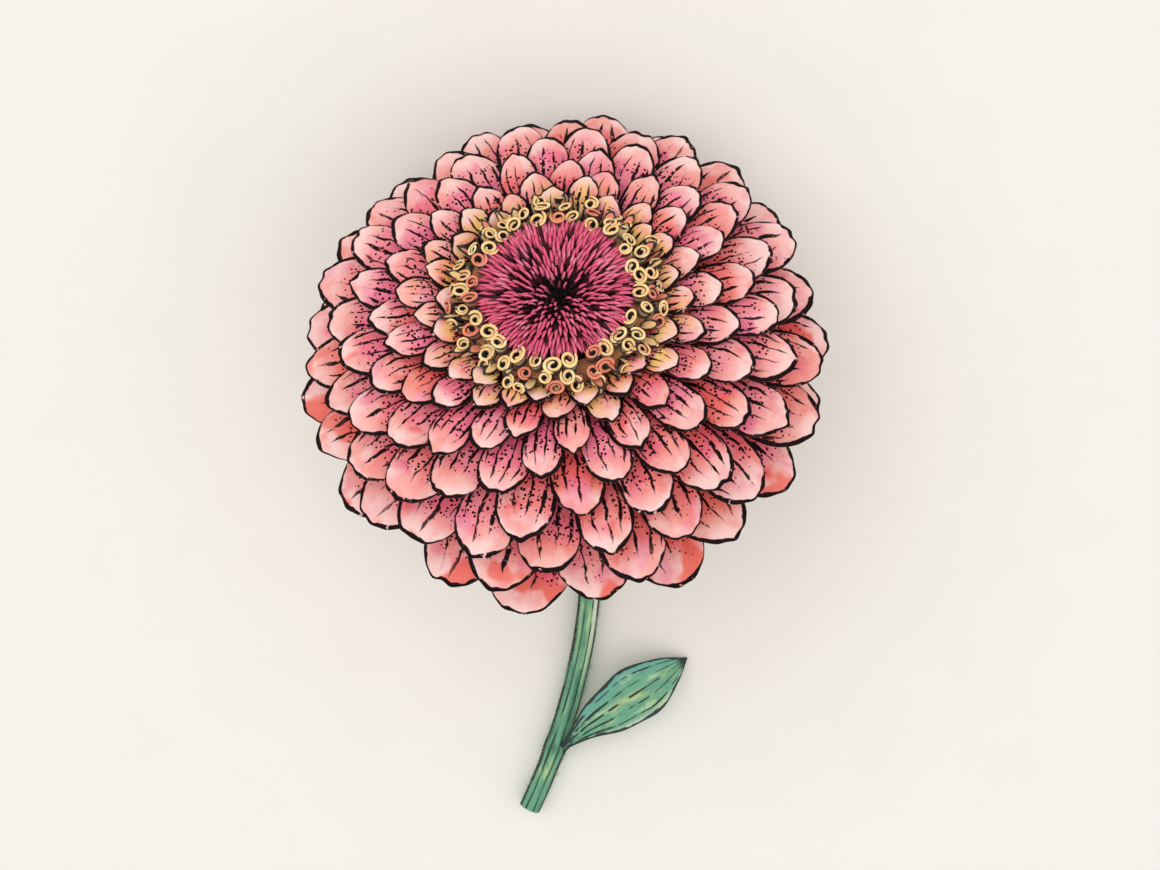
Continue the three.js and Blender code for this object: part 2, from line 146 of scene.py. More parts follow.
def sleeve_blank(name, sides, rings, ends="TRIFAN"):
    """A cylinder of radius 1 from z = 0 to z = 1, with that many faces round and along."""
    bpy.ops.object.select_all(action="DESELECT")
    bpy.ops.mesh.primitive_cylinder_add(
        vertices=sides, radius=1, depth=1, location=(0, 0, 0.5), end_fill_type=ends
    )
    blank = bpy.context.object
    blank.name = name
    bpy.ops.object.transform_apply(location=True, rotation=False, scale=False)
    upright = [
        abs(blank.data.vertices[a].co.z - blank.data.vertices[b].co.z) > 0.5
        for a, b in (edge.vertices for edge in blank.data.edges)
    ]
    bpy.ops.object.mode_set(mode="EDIT")
    bpy.ops.mesh.select_mode(type="EDGE")
    bpy.ops.mesh.select_all(action="DESELECT")
    bpy.ops.object.mode_set(mode="OBJECT")
    blank.data.edges.foreach_set("select", upright)
    bpy.ops.object.mode_set(mode="EDIT")
    if rings > 1:
        bpy.ops.mesh.subdivide(number_cuts=rings - 1)
    bpy.ops.object.mode_set(mode="OBJECT")
    return blank


# %% Read a blank's vertices
def corners(piece):
    """The vertices of a piece as an array."""
    places = np.zeros(len(piece.data.vertices) * 3, np.float32)
    piece.data.vertices.foreach_get("co", places)
    return places.reshape(-1, 3).astype(float)


def blade_shares(grid):
    """Across a blade from -1 to 1, along it from 0 to 1, and which of its faces, -1 or 1."""
    return grid[:, 0], (grid[:, 1] + 1) / 2, grid[:, 2]


def on_rim(grid):
    """Which vertices lie on a blade's two long sides or its far end."""
    return (np.abs(grid[:, 0]) > 0.999) | (grid[:, 1] > 0.999)


def bunched(across, fan):
    """Shares across a blade, drawn together towards its margins."""
    return np.sin(across * math.pi / 2 * fan) / math.sin(math.pi / 2 * fan)


# %% Shape copies of a blank, join them and dress them
def keep(piece, name, values):
    """Stores a vector for each vertex, which a material can read back by that name."""
    held = piece.data.attributes.new(name, "FLOAT_VECTOR", "POINT")
    held.data.foreach_set("vector", np.asarray(values, np.float32).ravel())


def shaped_copy(blank, places, **facts):
    """A copy of a blank with its own mesh, its vertices at these places in millimetres."""
    piece = blank.copy()
    piece.data = blank.data.copy()
    SCENE.collection.objects.link(piece)
    piece.data.vertices.foreach_set("co", (places / MM_IN_METRE).astype(np.float32).ravel())
    for name, values in facts.items():
        keep(piece, name, values)
    piece.data.update()
    return piece


def copies(blank, shape, count):
    """As many copies as count says, each shaped by its own number, with the blank cleared away."""
    grid = corners(blank)
    made = [shape(blank, grid, number) for number in range(count)]
    bpy.data.objects.remove(blank)
    return made


def one_piece(name, parts, crease=None):
    """Joins parts under one name, smooth all over, or only up to a crease of so many degrees."""
    bpy.ops.object.select_all(action="DESELECT")
    for part in parts:
        part.select_set(True)
    bpy.context.view_layer.objects.active = parts[0]
    if len(parts) > 1:
        bpy.ops.object.join()
    piece = bpy.context.object
    piece.name = name
    bpy.ops.object.mode_set(mode="EDIT")
    bpy.ops.mesh.select_all(action="SELECT")
    bpy.ops.mesh.normals_make_consistent(inside=False)
    bpy.ops.object.mode_set(mode="OBJECT")
    if crease is None:
        bpy.ops.object.shade_smooth()
    else:
        bpy.ops.object.shade_smooth_by_angle(angle=math.radians(crease))
    print(name, "has", len(piece.data.polygons), "faces")
    return piece


def dressed(piece, material, slot, *nodes):
    """Gives a piece its material and its body, and hides the solids that it stands for. The slot is
    not used.
    """
    piece.data.materials.clear()
    piece.data.materials.append(material)
    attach(piece, "root")
    if nodes:
        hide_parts(*nodes)
    print(piece.name, "wears", material.name)


# %% [markdown]
# ## Camera
#
# The bloom faces the viewer a little from above, so the camera looks down on the table, ten
# degrees off the vertical. It stands 0.6 m off with a 100 mm lens: near enough for the dome to
# bulge towards it, far enough to keep the stem straight.

# %% Aim the camera
BLOOM_CENTRE = np.array([0.15, 24.93, 28.2])
CAMERA_TILT = math.radians(10)
CAMERA_DISTANCE = 0.614
AIM_OFFSET = (2.48, -13.2)  # right and up in the picture, from the bloom's centre

right = Vector((1, 0, 0))
toward = Vector((0, math.sin(CAMERA_TILT), math.cos(CAMERA_TILT)))
up = toward.cross(right)
aim = Vector(BLOOM_CENTRE / MM_IN_METRE)
aim += (right * AIM_OFFSET[0] + up * AIM_OFFSET[1]) / MM_IN_METRE
lens = bpy.data.cameras.new("camera")
lens.lens = 100
lens.sensor_width = 36
lens.clip_start = 0.01
camera = bpy.data.objects.new("camera", lens)
camera.matrix_world = Matrix.Translation(aim + toward * CAMERA_DISTANCE) @ Matrix(
    (right, up, toward)
).transposed().to_4x4()
SCENE.collection.objects.link(camera)
SCENE.camera = camera
print("camera at", [round(x, 3) for x in camera.location])

# %% [markdown]
# ## Table and light
#
# Petals are soft and thin, and hard light would cut them up with shadows. A big soft lamp high on
# the left gives the dome its form, a fainter one on the right opens the shadows, and the pale
# surroundings do the rest. The table is one plain pale sheet, a hair below the flower.

# %% Lay the table and set the lamps
def lamp(name, place, size, power, colour):
    data = bpy.data.lights.new(name, "AREA")
    data.shape = "DISK"
    data.size = size
    data.energy = power
    data.color = colour
    light = bpy.data.objects.new(name, data)
    light.location = place
    light.rotation_mode = "QUATERNION"
    light.rotation_quaternion = Vector(place).to_track_quat("Z", "Y")
    SCENE.collection.objects.link(light)


bpy.ops.object.select_all(action="DESELECT")
bpy.ops.mesh.primitive_plane_add(size=6, location=(0, 0, -0.0001))
table = bpy.context.object
table.name = "table"
lamp("key_lamp", (-0.35, 0.35, 1.0), size=1.2, power=3.4, colour=(1.0, 0.995, 0.985))
lamp("fill_lamp", (0.6, -0.3, 0.8), size=1.2, power=1.5, colour=(0.98, 0.99, 1.0))
surroundings = bpy.data.worlds.new("surroundings")
surroundings.use_nodes = True
sky = surroundings.node_tree.nodes["Background"]
sky.inputs["Color"].default_value = (1, 0.995, 0.985, 1)
sky.inputs["Strength"].default_value = 0.8
SCENE.world = surroundings
SCENE.view_settings.view_transform = "Standard"
print("two lamps and a pale room")

# %% [markdown]
# ## Tools for materials
#
# A material is a chain of small sums. These helpers add one step of the chain each, and take
# either a plain value or the output of an earlier step, which also says whose chain it is.

# %% Helpers that add one node each
def feed(socket, value):
    if isinstance(value, bpy.types.NodeSocket):
        socket.id_data.links.new(value, socket)
    else:
        socket.default_value = value


def tree_of(*values):
    """The node tree of the first of these values that is an earlier step."""
    return next(value.id_data for value in values if isinstance(value, bpy.types.NodeSocket))


def add(tree, kind, inputs=(), **settings):
    node = tree.nodes.new("ShaderNode" + kind)
    for name, value in settings.items():
        setattr(node, name, value)
    for name, value in dict(inputs).items():
        feed(node.inputs[name], value)
    return node


def sums(operation, *values):
    node = add(tree_of(*values), "Math", operation=operation)
    for socket, value in zip(node.inputs, values):
        feed(socket, value)
    return node.outputs[0]


def fade(value, start, end, low=0.0, high=1.0):
    """Runs smoothly from low to high as the value goes from start to end."""
    node = add(tree_of(value), "MapRange", interpolation_type="SMOOTHSTEP")
    for socket, setting in zip(node.inputs, (value, start, end, low, high)):
        feed(socket, setting)
    return node.outputs[0]


def tint(share, first, second):
    """The first colour, with this share of the second laid over it."""
    node = add(tree_of(share), "Mix", data_type="RGBA")
    for place, value in ((0, share), (6, first), (7, second)):
        feed(node.inputs[place], value)
    return node.outputs[2]


def noise(place, scale, detail=2.0, rough=0.5):
    """Noise with this many waves to a metre."""
    values = {"Vector": place, "Scale": scale, "Detail": detail, "Roughness": rough}
    return add(tree_of(place), "TexNoise", values).outputs["Fac"]


# %% Helpers that add a few nodes
def chained(operation):
    """A helper that runs one operation over all the values it is given."""
    def run(result, *values):
        for value in values:
            result = sums(operation, result, value)
        return result
    return run


times = chained("MULTIPLY")
plus = chained("ADD")
minus = chained("SUBTRACT")
either = chained("MAXIMUM")


def off(value, mark):
    """How far a value is from a mark, whichever side of it."""
    return sums("ABSOLUTE", minus(value, mark))


def patches(place, scale, *levels):
    """Soft patches of noise, faded between the levels that `fade` takes."""
    return fade(noise(place, scale), *levels)


def read(tree, name):
    """What a piece keeps under this name at each vertex, as one vector."""
    return add(tree, "Attribute", attribute_name=name).outputs["Vector"]


def read_three(tree, name):
    """The same as three separate numbers."""
    return add(tree, "SeparateXYZ", {"Vector": read(tree, name)}).outputs


# %% Start and finish a material
def rgb(red, green, blue):
    """A colour as it is read off a picture, 0 to 255, as the linear one that shaders work in."""
    def linear(level):
        level /= 255
        return level / 12.92 if level <= 0.04045 else ((level + 0.055) / 1.055) ** 2.4
    return (linear(red), linear(green), linear(blue), 1)


def new_material(name, **plain):
    """A material, its tree and its shader, with the plain settings made on the shader itself."""
    material = bpy.data.materials.new(name)
    material.use_nodes = True
    shader = material.node_tree.nodes["Principled BSDF"]
    for title, value in plain.items():
        shader.inputs[title.replace("_", " ")].default_value = value
    return material, material.node_tree, shader


def finish_material(shader, colour, height, depth, strength=0.6):
    """Feeds the colour, and a bump that is depth metres high where height is 1."""
    feed(shader.inputs["Base Color"], colour)
    values = {"Strength": strength, "Distance": depth, "Height": height}
    relief = add(tree_of(height), "Bump", values)
    feed(shader.inputs["Normal"], relief.outputs["Normal"])


# %% [markdown]
# ## Washes and fine lines
#
# Two effects come back on every part of this plant. Colour lies on it in soft washes, where pale,
# middle and deep tones flow into each other. And dark fine lines run along its veins and margins,
# a little broken. Each is a node group, built once and used with its own values everywhere.

# %% The wash group
def new_group(name, inputs, outputs):
    """A node group, and the two ends that its nodes link to: what is given, and the result."""
    group = bpy.data.node_groups.new(name, "ShaderNodeTree")
    for end, sockets in (("INPUT", inputs), ("OUTPUT", outputs)):
        for title, kind in sockets.items():
            group.interface.new_socket(title, in_out=end, socket_type="NodeSocket" + kind)
    given = group.nodes.new("NodeGroupInput").outputs
    return group, given, group.nodes.new("NodeGroupOutput").inputs


FINER = 2.7  # how much finer the deep tone's patches are than the pale one's
wash, given, result = new_group(
    "wash",
    {"Place": "Vector", "Scale": "Float", "Pale": "Color", "Middle": "Color", "Deep": "Color"},
    {"Color": "Color"},
)
broad = noise(given["Place"], given["Scale"], detail=3.0, rough=0.55)
finer = noise(given["Place"], times(given["Scale"], FINER), detail=4.0, rough=0.6)
light_part = tint(fade(broad, 0.5, 0.66), given["Middle"], given["Pale"])
washed = tint(fade(finer, 0.52, 0.7), light_part, given["Deep"])
feed(result["Color"], washed)

# %% The fine line group
BREAK_SCALE = 900.0
SWELL_SCALE = 260.0
fine_line, given, result = new_group(
    "fine_line",
    {"Distance": "Float", "Width": "Float", "Place": "Vector", "Breaks": "Float"},
    {"Mask": "Float"},
)
grain = noise(given["Place"], BREAK_SCALE)
swell = patches(given["Place"], SWELL_SCALE, 0.35, 0.65, 0.55, 1.35)
within = minus(times(given["Width"], swell), given["Distance"])
line = fade(within, -0.05, 0.09)
whole = fade(grain, given["Breaks"], plus(given["Breaks"], 0.12))
feed(result["Mask"], times(line, whole))


# %% Place the groups in a material
def use_group(group, **values):
    return add(tree_of(*values.values()), "Group", values, node_tree=group).outputs[0]


def washes(place, scale, pale, middle, deep):
    return use_group(wash, Place=place, Scale=scale, Pale=pale, Middle=middle, Deep=deep)


def ink(distance, width, place, breaks):
    """Where a dark line runs, this many millimetres wide, along whatever the distance is from."""
    return use_group(fine_line, Distance=distance, Width=width, Place=place, Breaks=breaks)


print("node groups:", [group.name for group in bpy.data.node_groups])

# %% [markdown]
# ## The bloom's own frame
#
# The bloom was modelled facing straight up and then leaned over, so its rules stay simple: height
# is along its axis, and the spiral turns round it. `set_in_bloom` leans finished points over and
# moves them to where the bloom lies. Each piece but the petals also keeps its places in the
# bloom's own frame, which its wash is laid on.

# %% Lean the bloom
BLOOM_LEAN = math.radians(36)
BLOOM_TURN = math.radians(6.2)
lean = np.array(Matrix.Rotation(BLOOM_TURN, 3, "Z") @ Matrix.Rotation(-BLOOM_LEAN, 3, "X"))


def set_in_bloom(points):
    return np.asarray(points, float) @ lean.T + BLOOM_CENTRE


def bloom_copy(blank, places, **facts):
    return shaped_copy(blank, set_in_bloom(places), **facts, own=places / MM_IN_METRE)


facing = lean @ np.array([0.0, 0.0, 1.0])
print("the bloom faces", facing.round(3))

# %% [markdown]
# ## Ray petals
#
# A zinnia's petal is a spoon: a narrow claw that springs from the core, a broad blade whose
# margins fall a little, and a round tip. The petals open in one spiral, each a golden angle on
# from the last. The innermost are short, stand up and are a little pointed, the outermost are
# long, broad and level. Their tips lie on one low dome, which gives the bloom its neat outline.
#
# No petal is quite like its neighbour. Its blade ripples, its tip is slightly ragged, strays to
# one side and may curl up, and one of its margins may be cupped.
#
# Where the bloom rests on the table its lowest petals are pressed flat. The rule bends each petal
# gently at the table instead of letting it cut through.

# %% The petals' measures, in millimetres, with pairs from the innermost petal to the outermost
PETALS = 147
PETALS_IN_TURN = 21
PETAL_CROWDING = 1.5  # over 1 sets the inner petals closer together than the outer ones
FIRST_PETAL = math.radians(120)  # which way the spiral's first petal points
DOME_RADIUS = 50.2
DOME_HEIGHT = 31
DOME_POWER = 2.3
TIP_POLAR = (math.radians(23), math.radians(98.5))
ROOT_HEIGHT = (26, 2)
ROOT_RADIUS = (17.2, 14.2)
ROOT_SLOPE = (math.radians(38), math.radians(3))
TIP_SLOPE = (math.radians(-4), math.radians(-24))
HANDLE_SHARE = 0.4  # of the petal's length, which each handle of its curve has
HALF_WIDTH = (2.9, 7.9)
CLAW_BREADTH = 0.34
CLAW_FLARE = 1.3
WIDEST_AT = 0.6
TIP_STRETCH = 1.15  # the tip is half an ellipse, this much longer than it is wide
TIP_CORNER = math.radians(46)  # how far round that ellipse the blade's sides run
LEAST_SPACING = 0.35  # for one whole share across, as a share of the blade's breadth
ARCH = 0.2
SOLID_HALF = 0.45  # half the solid petal's thickness, which the table presses against
PETAL_HALF = 0.3
MARGIN_SHARE = 0.35  # of that thickness, which the margin keeps
THINNING_REACH = 2.5  # how far in from the margin the blade is thinned
PRESS_SOFTNESS = 1.3
print("petals in", PETALS // PETALS_IN_TURN, "turns of the spiral")

# %% How far one petal differs from the next, mostly as shares of its own size
POLAR_SWAY = 0.012
SIZE_SWAY = 0.02
WIDTH_SWAY = 0.07
TURN_SWAY = math.radians(2.5)
TWIST = 0.07
STRAYING = 0.18
TIP_CURL = 0.1
TIP_POINT = (-0.018, 0.018)
YOUNG_POINT = 0.034  # how much more pointed the very first petal is
POINT_BREADTH = 0.3
RAGGEDNESS = 0.0045
JAGS = 9  # how fast the ragged tip goes in and out
RIPPLE = 0.16
RIPPLES = (7, 10)  # how fast the ripples come, in the slowest petal and in the fastest
CUPPED_FROM = 0.4  # how far across the blade its cupped margin begins
CUP_DEPTH = 0.45
UNCUPPED = 0.35  # the share of the petals that aren't cupped at all
PATTERN_STEP = 17.3  # millimetres from one petal's place in the noise to the next one's
print("a tip strays by at most", round(STRAYING * HALF_WIDTH[1], 1), "mm")


# %% Spread one petal flat
def petal_layout(across, along, half_width, length):
    """Where a vertex lies on a petal spread flat, to its side and along it, and how many
    millimetres one whole share across is there."""
    to_widest = np.minimum(along / WIDEST_AT, 1)
    past_widest = np.maximum(along - WIDEST_AT, 0) / (1 - WIDEST_AT)
    rising = np.sin(to_widest * math.pi / 2) ** CLAW_FLARE
    breadth = half_width * mix((CLAW_BREADTH, 1), rising)
    fan = math.pi / 2 - TIP_CORNER * past_widest
    tip_length = TIP_STRETCH * half_width
    round_tip = np.cos(across * (math.pi / 2 - TIP_CORNER)) / math.sin(TIP_CORNER)
    lengthwise = (length - tip_length) * to_widest
    lengthwise += tip_length * round_tip * np.sin(TIP_CORNER * past_widest)
    spacing = breadth * np.maximum(fan * np.cos(across * fan), LEAST_SPACING)
    return breadth * np.sin(across * fan), lengthwise, spacing


def tip_shape(number, share, across):
    """How much further than round the petal's tip reaches, as a share of its length."""
    pointed = mix(TIP_POINT, chance(number, 21)) + YOUNG_POINT * max(0, 1 - 3 * share)
    point = pointed * np.exp(-((across / POINT_BREADTH) ** 2))
    ragged = RAGGEDNESS * np.sin(across * JAGS + wave_start(number, 28)) * (1 - across**2)
    return point + ragged


# %% Bend one petal
def petal_course(number, share):
    """The handles of a petal's middle line, out from the axis and up it, and its length."""
    polar = mix(TIP_POLAR, share) * (1 + POLAR_SWAY * sway(number, 1))
    size = 1 + SIZE_SWAY * sway(number, 2)
    root = np.array([mix(ROOT_RADIUS, share), mix(ROOT_HEIGHT, share)])
    out, over = math.sin(polar), math.cos(polar)
    tip = size * np.array([
        DOME_RADIUS * out ** (2 / DOME_POWER),
        DOME_HEIGHT * math.copysign(abs(over) ** (2 / DOME_POWER), over),
    ])
    length = float(np.linalg.norm(tip - root))
    leave, arrive = mix(ROOT_SLOPE, share), mix(TIP_SLOPE, share)
    handles = [
        root,
        root + HANDLE_SHARE * length * np.array([math.cos(leave), math.sin(leave)]),
        tip - HANDLE_SHARE * length * np.array([math.cos(arrive), math.sin(arrive)]),
        tip,
    ]
    return handles, length


def petal_lift(number, across, along, sideways, half_width):
    """How far a vertex stands off the petal's middle line."""
    spread = sideways / half_width
    rippling = across * mix(RIPPLES, chance(number, 22))
    ripple = RIPPLE * np.sin(rippling + wave_start(number, 23))
    cupped_side = 1 if chance(number, 26) > 0.5 else -1
    cupped = np.clip(spread * cupped_side - CUPPED_FROM, 0, 1) ** 2
    rolled_in = CUP_DEPTH * max(0, chance(number, 27) - UNCUPPED) * half_width * cupped
    settle = np.sin(np.minimum(along / WIDEST_AT, 1) * math.pi / 2) ** 2
    sag = (ARCH * half_width * spread**2 - ripple * np.abs(across) - rolled_in) * settle
    tip_curl = TIP_CURL * half_width * max(0, sway(number, 30)) * along**3
    return TWIST * sway(number, 4) * sideways * along + tip_curl - sag


def pressed_to_table(points, outward, side, half):
    """Offsets each point by half to its side, and lays flat what would reach into the table."""
    free = np.clip((1 + (points[:, 2] - SOLID_HALF) / PRESS_SOFTNESS) / 2, 0, 1)
    flat = free < 1
    points[flat, 2] = SOLID_HALF + PRESS_SOFTNESS * free[flat] ** 2
    normal = unit(outward * free[:, None] + np.array([0, 0, 1]) * (1 - free)[:, None])
    offset = side * half - (1 - free) * (SOLID_HALF - half)
    return points + normal * offset[:, None]


# %% Make one petal
def petal(blank, grid, number):
    across, along, side = blade_shares(grid)
    share = (number / (PETALS - 1)) ** PETAL_CROWDING
    handles, length = petal_course(number, share)
    half_width = mix(HALF_WIDTH, share) * (1 + WIDTH_SWAY * sway(number, 3))
    sideways, lengthwise, spacing = petal_layout(across, along, half_width, length)
    at = lengthwise / length + tip_shape(number, share, across) * along**4
    middle, way = curve_point(handles, at)
    lift = petal_lift(number, across, along, sideways, half_width)
    astray = sideways + STRAYING * half_width * sway(number, 29) * along**2
    azimuth = FIRST_PETAL + number * GOLDEN_ANGLE + TURN_SWAY * sway(number, 5)
    bent = columns(middle[:, 0] - way[:, 1] * lift, astray, middle[:, 1] + way[:, 0] * lift)
    outward = turned(columns(-way[:, 1], 0, way[:, 0]), azimuth) @ lean.T
    laid = columns(sideways, at * length)
    margin = np.linalg.norm(laid[:, None, :] - laid[on_rim(grid)], axis=2).min(1)
    thinning = mix((MARGIN_SHARE, 1), np.clip(margin / THINNING_REACH, 0, 1))
    return shaped_copy(
        blank,
        pressed_to_table(
            set_in_bloom(turned(bent, azimuth)), outward, side, PETAL_HALF * thinning
        ),
        blade=columns(across, along, share),
        laid=columns(laid[:, 0], laid[:, 1], number * PATTERN_STEP) / MM_IN_METRE,
        facts=columns(margin, spacing, chance(number, 24)),
        face=columns(side, 0, 0),
    )


# %% Copy the petal round the spiral, and join each turn
petals = copies(blade_blank("petal_blank", 20, 18), petal, PETALS)
petal_turns = [
    one_piece(f"petals_turn_{first // PETALS_IN_TURN + 1}", petals[first:first + PETALS_IN_TURN])
    for first in range(0, PETALS, PETALS_IN_TURN)
]

# %% [markdown]
# ## The petals' skin
#
# Close up a coral zinnia is not one colour. Washes of peach, salmon and coral red flow over each
# petal, its claw is deep rose, and a painted highlight pales its tip. Red flushes lie here and
# there on the outermost.
# The innermost petals are still opening and have yellow in them. The backs are paler, and
# greenish where they leave the core.
#
# All of this follows the petal, so the material reads what each vertex keeps: how far across and
# along it is, how many millimetres from the margin, and a draw that differs from petal to petal.

# %% Read what the petals keep
petal_skin, tree, shader = new_material(
    "petal_skin",
    Roughness=0.58,
    Specular_IOR_Level=0.12,
    Subsurface_Weight=0.12,
    Subsurface_Radius=(1.0, 0.35, 0.25),
    Subsurface_Scale=0.0012,
)
across, along, share = read_three(tree, "blade")
laid = read(tree, "laid")
margin, spacing, draw = read_three(tree, "facts")
side = read_three(tree, "face")[0]

# %% Wash the petals' blades
PEACH = rgb(255, 202, 198)
SALMON = rgb(252, 168, 163)
CORAL = rgb(246, 128, 124)
BRICK = rgb(242, 112, 84)
APRICOT = rgb(252, 186, 168)
ORCHID = rgb(243, 130, 158)
TIP_HIGHLIGHT_PINK = rgb(255, 216, 211)
RED_FLUSH = rgb(241, 94, 72)

coral = washes(laid, 150.0, PEACH, SALMON, CORAL)
own_tone = tint(fade(draw, 0.76, 0.95, 0.0, 0.7), coral, BRICK)
own_tone = tint(fade(draw, 0.36, 0.05, 0.0, 0.5), own_tone, APRICOT)
own_tone = tint(patches(laid, 170.0, 0.54, 0.64, 0.0, 0.8), own_tone, ORCHID)
# A painted highlight pales each petal's tip, in patches.
near_tip = fade(along, 0.6, 0.92)
tip_highlight = times(near_tip, patches(laid, 210.0, 0.36, 0.6, 0.34, 0.92))
blade_tone = tint(tip_highlight, own_tone, TIP_HIGHLIGHT_PINK)
outer = fade(share, 0.55, 0.85, 0.35, 1.0)
flush = times(outer, patches(laid, 120.0, 0.51, 0.6, 0.0, 0.8))
blade_tone = tint(flush, blade_tone, RED_FLUSH)
print("blades washed with", len(tree.nodes), "nodes")

# %% Tint the petals' claws, the young petals and the backs
COOL_ROSE = rgb(240, 104, 146)
WARM_ROSE = rgb(238, 90, 96)
BUD_YELLOW = rgb(250, 206, 112)
PALE_BACK = rgb(246, 196, 180)
GREEN_ROOT = rgb(206, 214, 158)

stain = plus(along, times(noise(laid, 330.0, detail=3.0), 0.42))
stain = minus(stain, times(share, 0.09))
claw = fade(stain, 1.02, 0.5)
rose = tint(fade(draw, 0.35, 0.65), COOL_ROSE, WARM_ROSE)
rosy = tint(times(claw, 0.86), blade_tone, rose)
opening = fade(plus(share, times(draw, 0.08)), 0.2, 0.06)
yellow_place = patches(laid, 300.0, 0.62, 0.4, 0.1, 0.9)
yellow_root = fade(along, 0.95, 0.55, 0.15, 1.0)
yellow = times(opening, times(yellow_place, yellow_root))
young = tint(yellow, rosy, BUD_YELLOW)
backed = tint(fade(side, 0.2, -0.6, 0.0, 0.75), young, PALE_BACK)
green_root = times(fade(along, 0.5, 0.1), fade(side, 0.0, -0.6, 0.0, 0.7))
backed = tint(green_root, backed, GREEN_ROOT)

# %% [markdown]
# Dark veins fan out from the claw and fade before they reach the tip. They fan out because they
# are drawn at fixed shares across the blade, and the blade is narrow at its claw. Every vein has
# its own length, the middle ones longest. Small dark specks lie between them, thickest at the
# claw, and a thin dark line follows the margin.

# %% Draw the petals' veins
VEINS = 6
WANDER = 0.6
wander = times(minus(noise(laid, 300.0), 0.5), WANDER)
count = times(plus(across, 1.0), VEINS / 2)
count = plus(count, wander, times(draw, 0.4))
off_vein = off(sums("FRACT", count), 0.5)
vein_distance = times(off_vein, 2 / VEINS, spacing)
vein_seed = plus(sums("FLOOR", count), times(draw, 91.0))
vein_draw = add(tree, "TexWhiteNoise", noise_dimensions="1D")
feed(vein_draw.inputs["W"], vein_seed)
longest = plus(0.68, times(vein_draw.outputs["Value"], 0.24), times(share, 0.1))
vein_end = minus(longest, times(sums("ABSOLUTE", across), 0.22))
running = fade(minus(vein_end, along), 0.0, 0.16)
vein_width = times(running, fade(share, 0.1, 0.7, 0.22, 0.34))
veins = ink(vein_distance, vein_width, laid, breaks=0.3)
veins = times(veins, fade(running, 0.02, 0.25))

# %% Add the specks and the margins, and finish the petals
SPECK_SCALE = 1250.0
INK = rgb(20, 3, 8)
cells = add(tree, "TexVoronoi", {"Vector": laid, "Scale": SPECK_SCALE, "Randomness": 1.0}).outputs
speck_size = times(fade(stain, 1.06, 0.74), 0.38)
specks = fade(minus(speck_size, cells["Distance"]), 0.0, 0.08)
cell_draw = add(tree, "SeparateColor", {"Color": cells["Color"]}).outputs[0]
sparse = fade(stain, 0.7, 1.0, 0.05, 0.6)
specks = times(specks, fade(minus(cell_draw, sparse), 0.0, 0.05))

edge = ink(margin, fade(share, 0.1, 0.7, 0.48, 0.64), laid, breaks=0.24)
fainter_back = fade(side, 0.0, -0.6, 1.0, 0.55)
inked = tint(times(either(veins, specks, edge), fainter_back), backed, INK)
ribs = fade(off_vein, 0.0, 0.5)
relief = plus(times(ribs, 0.3), times(noise(laid, 2600.0), 0.35))
finish_material(shader, inked, relief, 0.0003)
for piece in petal_turns:
    dressed(piece, petal_skin, "petals", "petals")
print("petal skin has", len(tree.nodes), "nodes")

# %% [markdown]
# ## The core
#
# Behind the petals' claws is the flower's receptacle, a blunt cone that they all spring from. Only
# glimpses of it show between the claws and round the disc, in deep rose with a golden shoulder. It
# is a cylinder whose rings follow the core's profile.

# %% Turn the core
def turned_piece(name, profile, sides, rings):
    """A round piece in the bloom, whose profile gives its radius and height from foot to top."""
    blank = sleeve_blank(name + "_blank", sides, rings)
    x, y, share = corners(blank).T
    profile = np.array(profile, float)
    radius, height = on_line(profile, shares_along(profile)[0], share).T
    piece = bloom_copy(blank, columns(x * radius, y * radius, height))
    bpy.data.objects.remove(blank)
    return piece


CORE_PROFILE = [
    (12.4, -1.6), (15.8, 2), (17.8, 12), (18.0, 21), (17.4, 26.4), (16.6, 27.2),
]
core = one_piece("petal_core", [turned_piece("core", CORE_PROFILE, 64, 14)], crease=50)

# %% Paint the core
core_skin, tree, shader = new_material("core_skin", Roughness=0.7)
own = read(tree, "own")
felt = washes(own, 400.0, rgb(206, 110, 96), rgb(176, 66, 82), rgb(120, 34, 50))
shoulder = fade(read_three(tree, "own")[2], 0.0225, 0.0262, 0.0, 0.85)
gilded = tint(shoulder, felt, rgb(214, 146, 92))
finish_material(shader, gilded, noise(own, 1500.0, detail=3.0), 0.0004)
dressed(core, core_skin, "petals", "petals")

# %% [markdown]
# ## The disc's middle
#
# The magenta middle is a tuft of several hundred narrow scales. At the centre they are short,
# dark and stand upright; towards the rim they grow long and lean outwards, so that the whole
# middle looks combed from its dark eye. Each one is a slim, flattened, curved cone of a few dozen
# faces: the eye reads hundreds of them as texture, and it costs little. Their flanks are dark,
# which parts each scale from the next.

# %% Turn the dished base under the scales
DISH_SIDE = [(13.6, 27.5), (13.8, 28.6), (13.3, 29.8)]
DISH_TOP = [(12.2, 30.3), (8, 30.6), (4, 30.0)]
MIDDLE_RADIUS = 13.9
dish = turned_piece("dish", DISH_SIDE + DISH_TOP + [(1.2, 29.5)], 56, 16)
dish_places = (corners(dish) * MM_IN_METRE - BLOOM_CENTRE) @ lean
keep(dish, "scale", columns(0, np.hypot(*dish_places[:, :2].T) / MIDDLE_RADIUS, 0))

# %% Comb the scales out from the eye, with pairs from the eye to the rim
SCALES = 620
SCALE_LENGTH = (1.8, 4.8)
LENGTH_SWAY = 0.15
SCALE_RISE = (math.radians(84), math.radians(24))
RISE_SWAY = math.radians(8)
SCALE_HALF = 0.37
SCALE_FLATNESS = 0.45
SCALE_BEND = 0.3
BEND_SWAY = 0.5
SCALE_ASTRAY = 0.5
SCALE_TIP = (0.75, 0.12)
EYE_RADIUS = 0.15
SCALES_REACH = 14.2
SUNK = 0.7
DISH_HEIGHTS = [(0, 29.5), *DISH_TOP[::-1], (13.6, 29.2)]


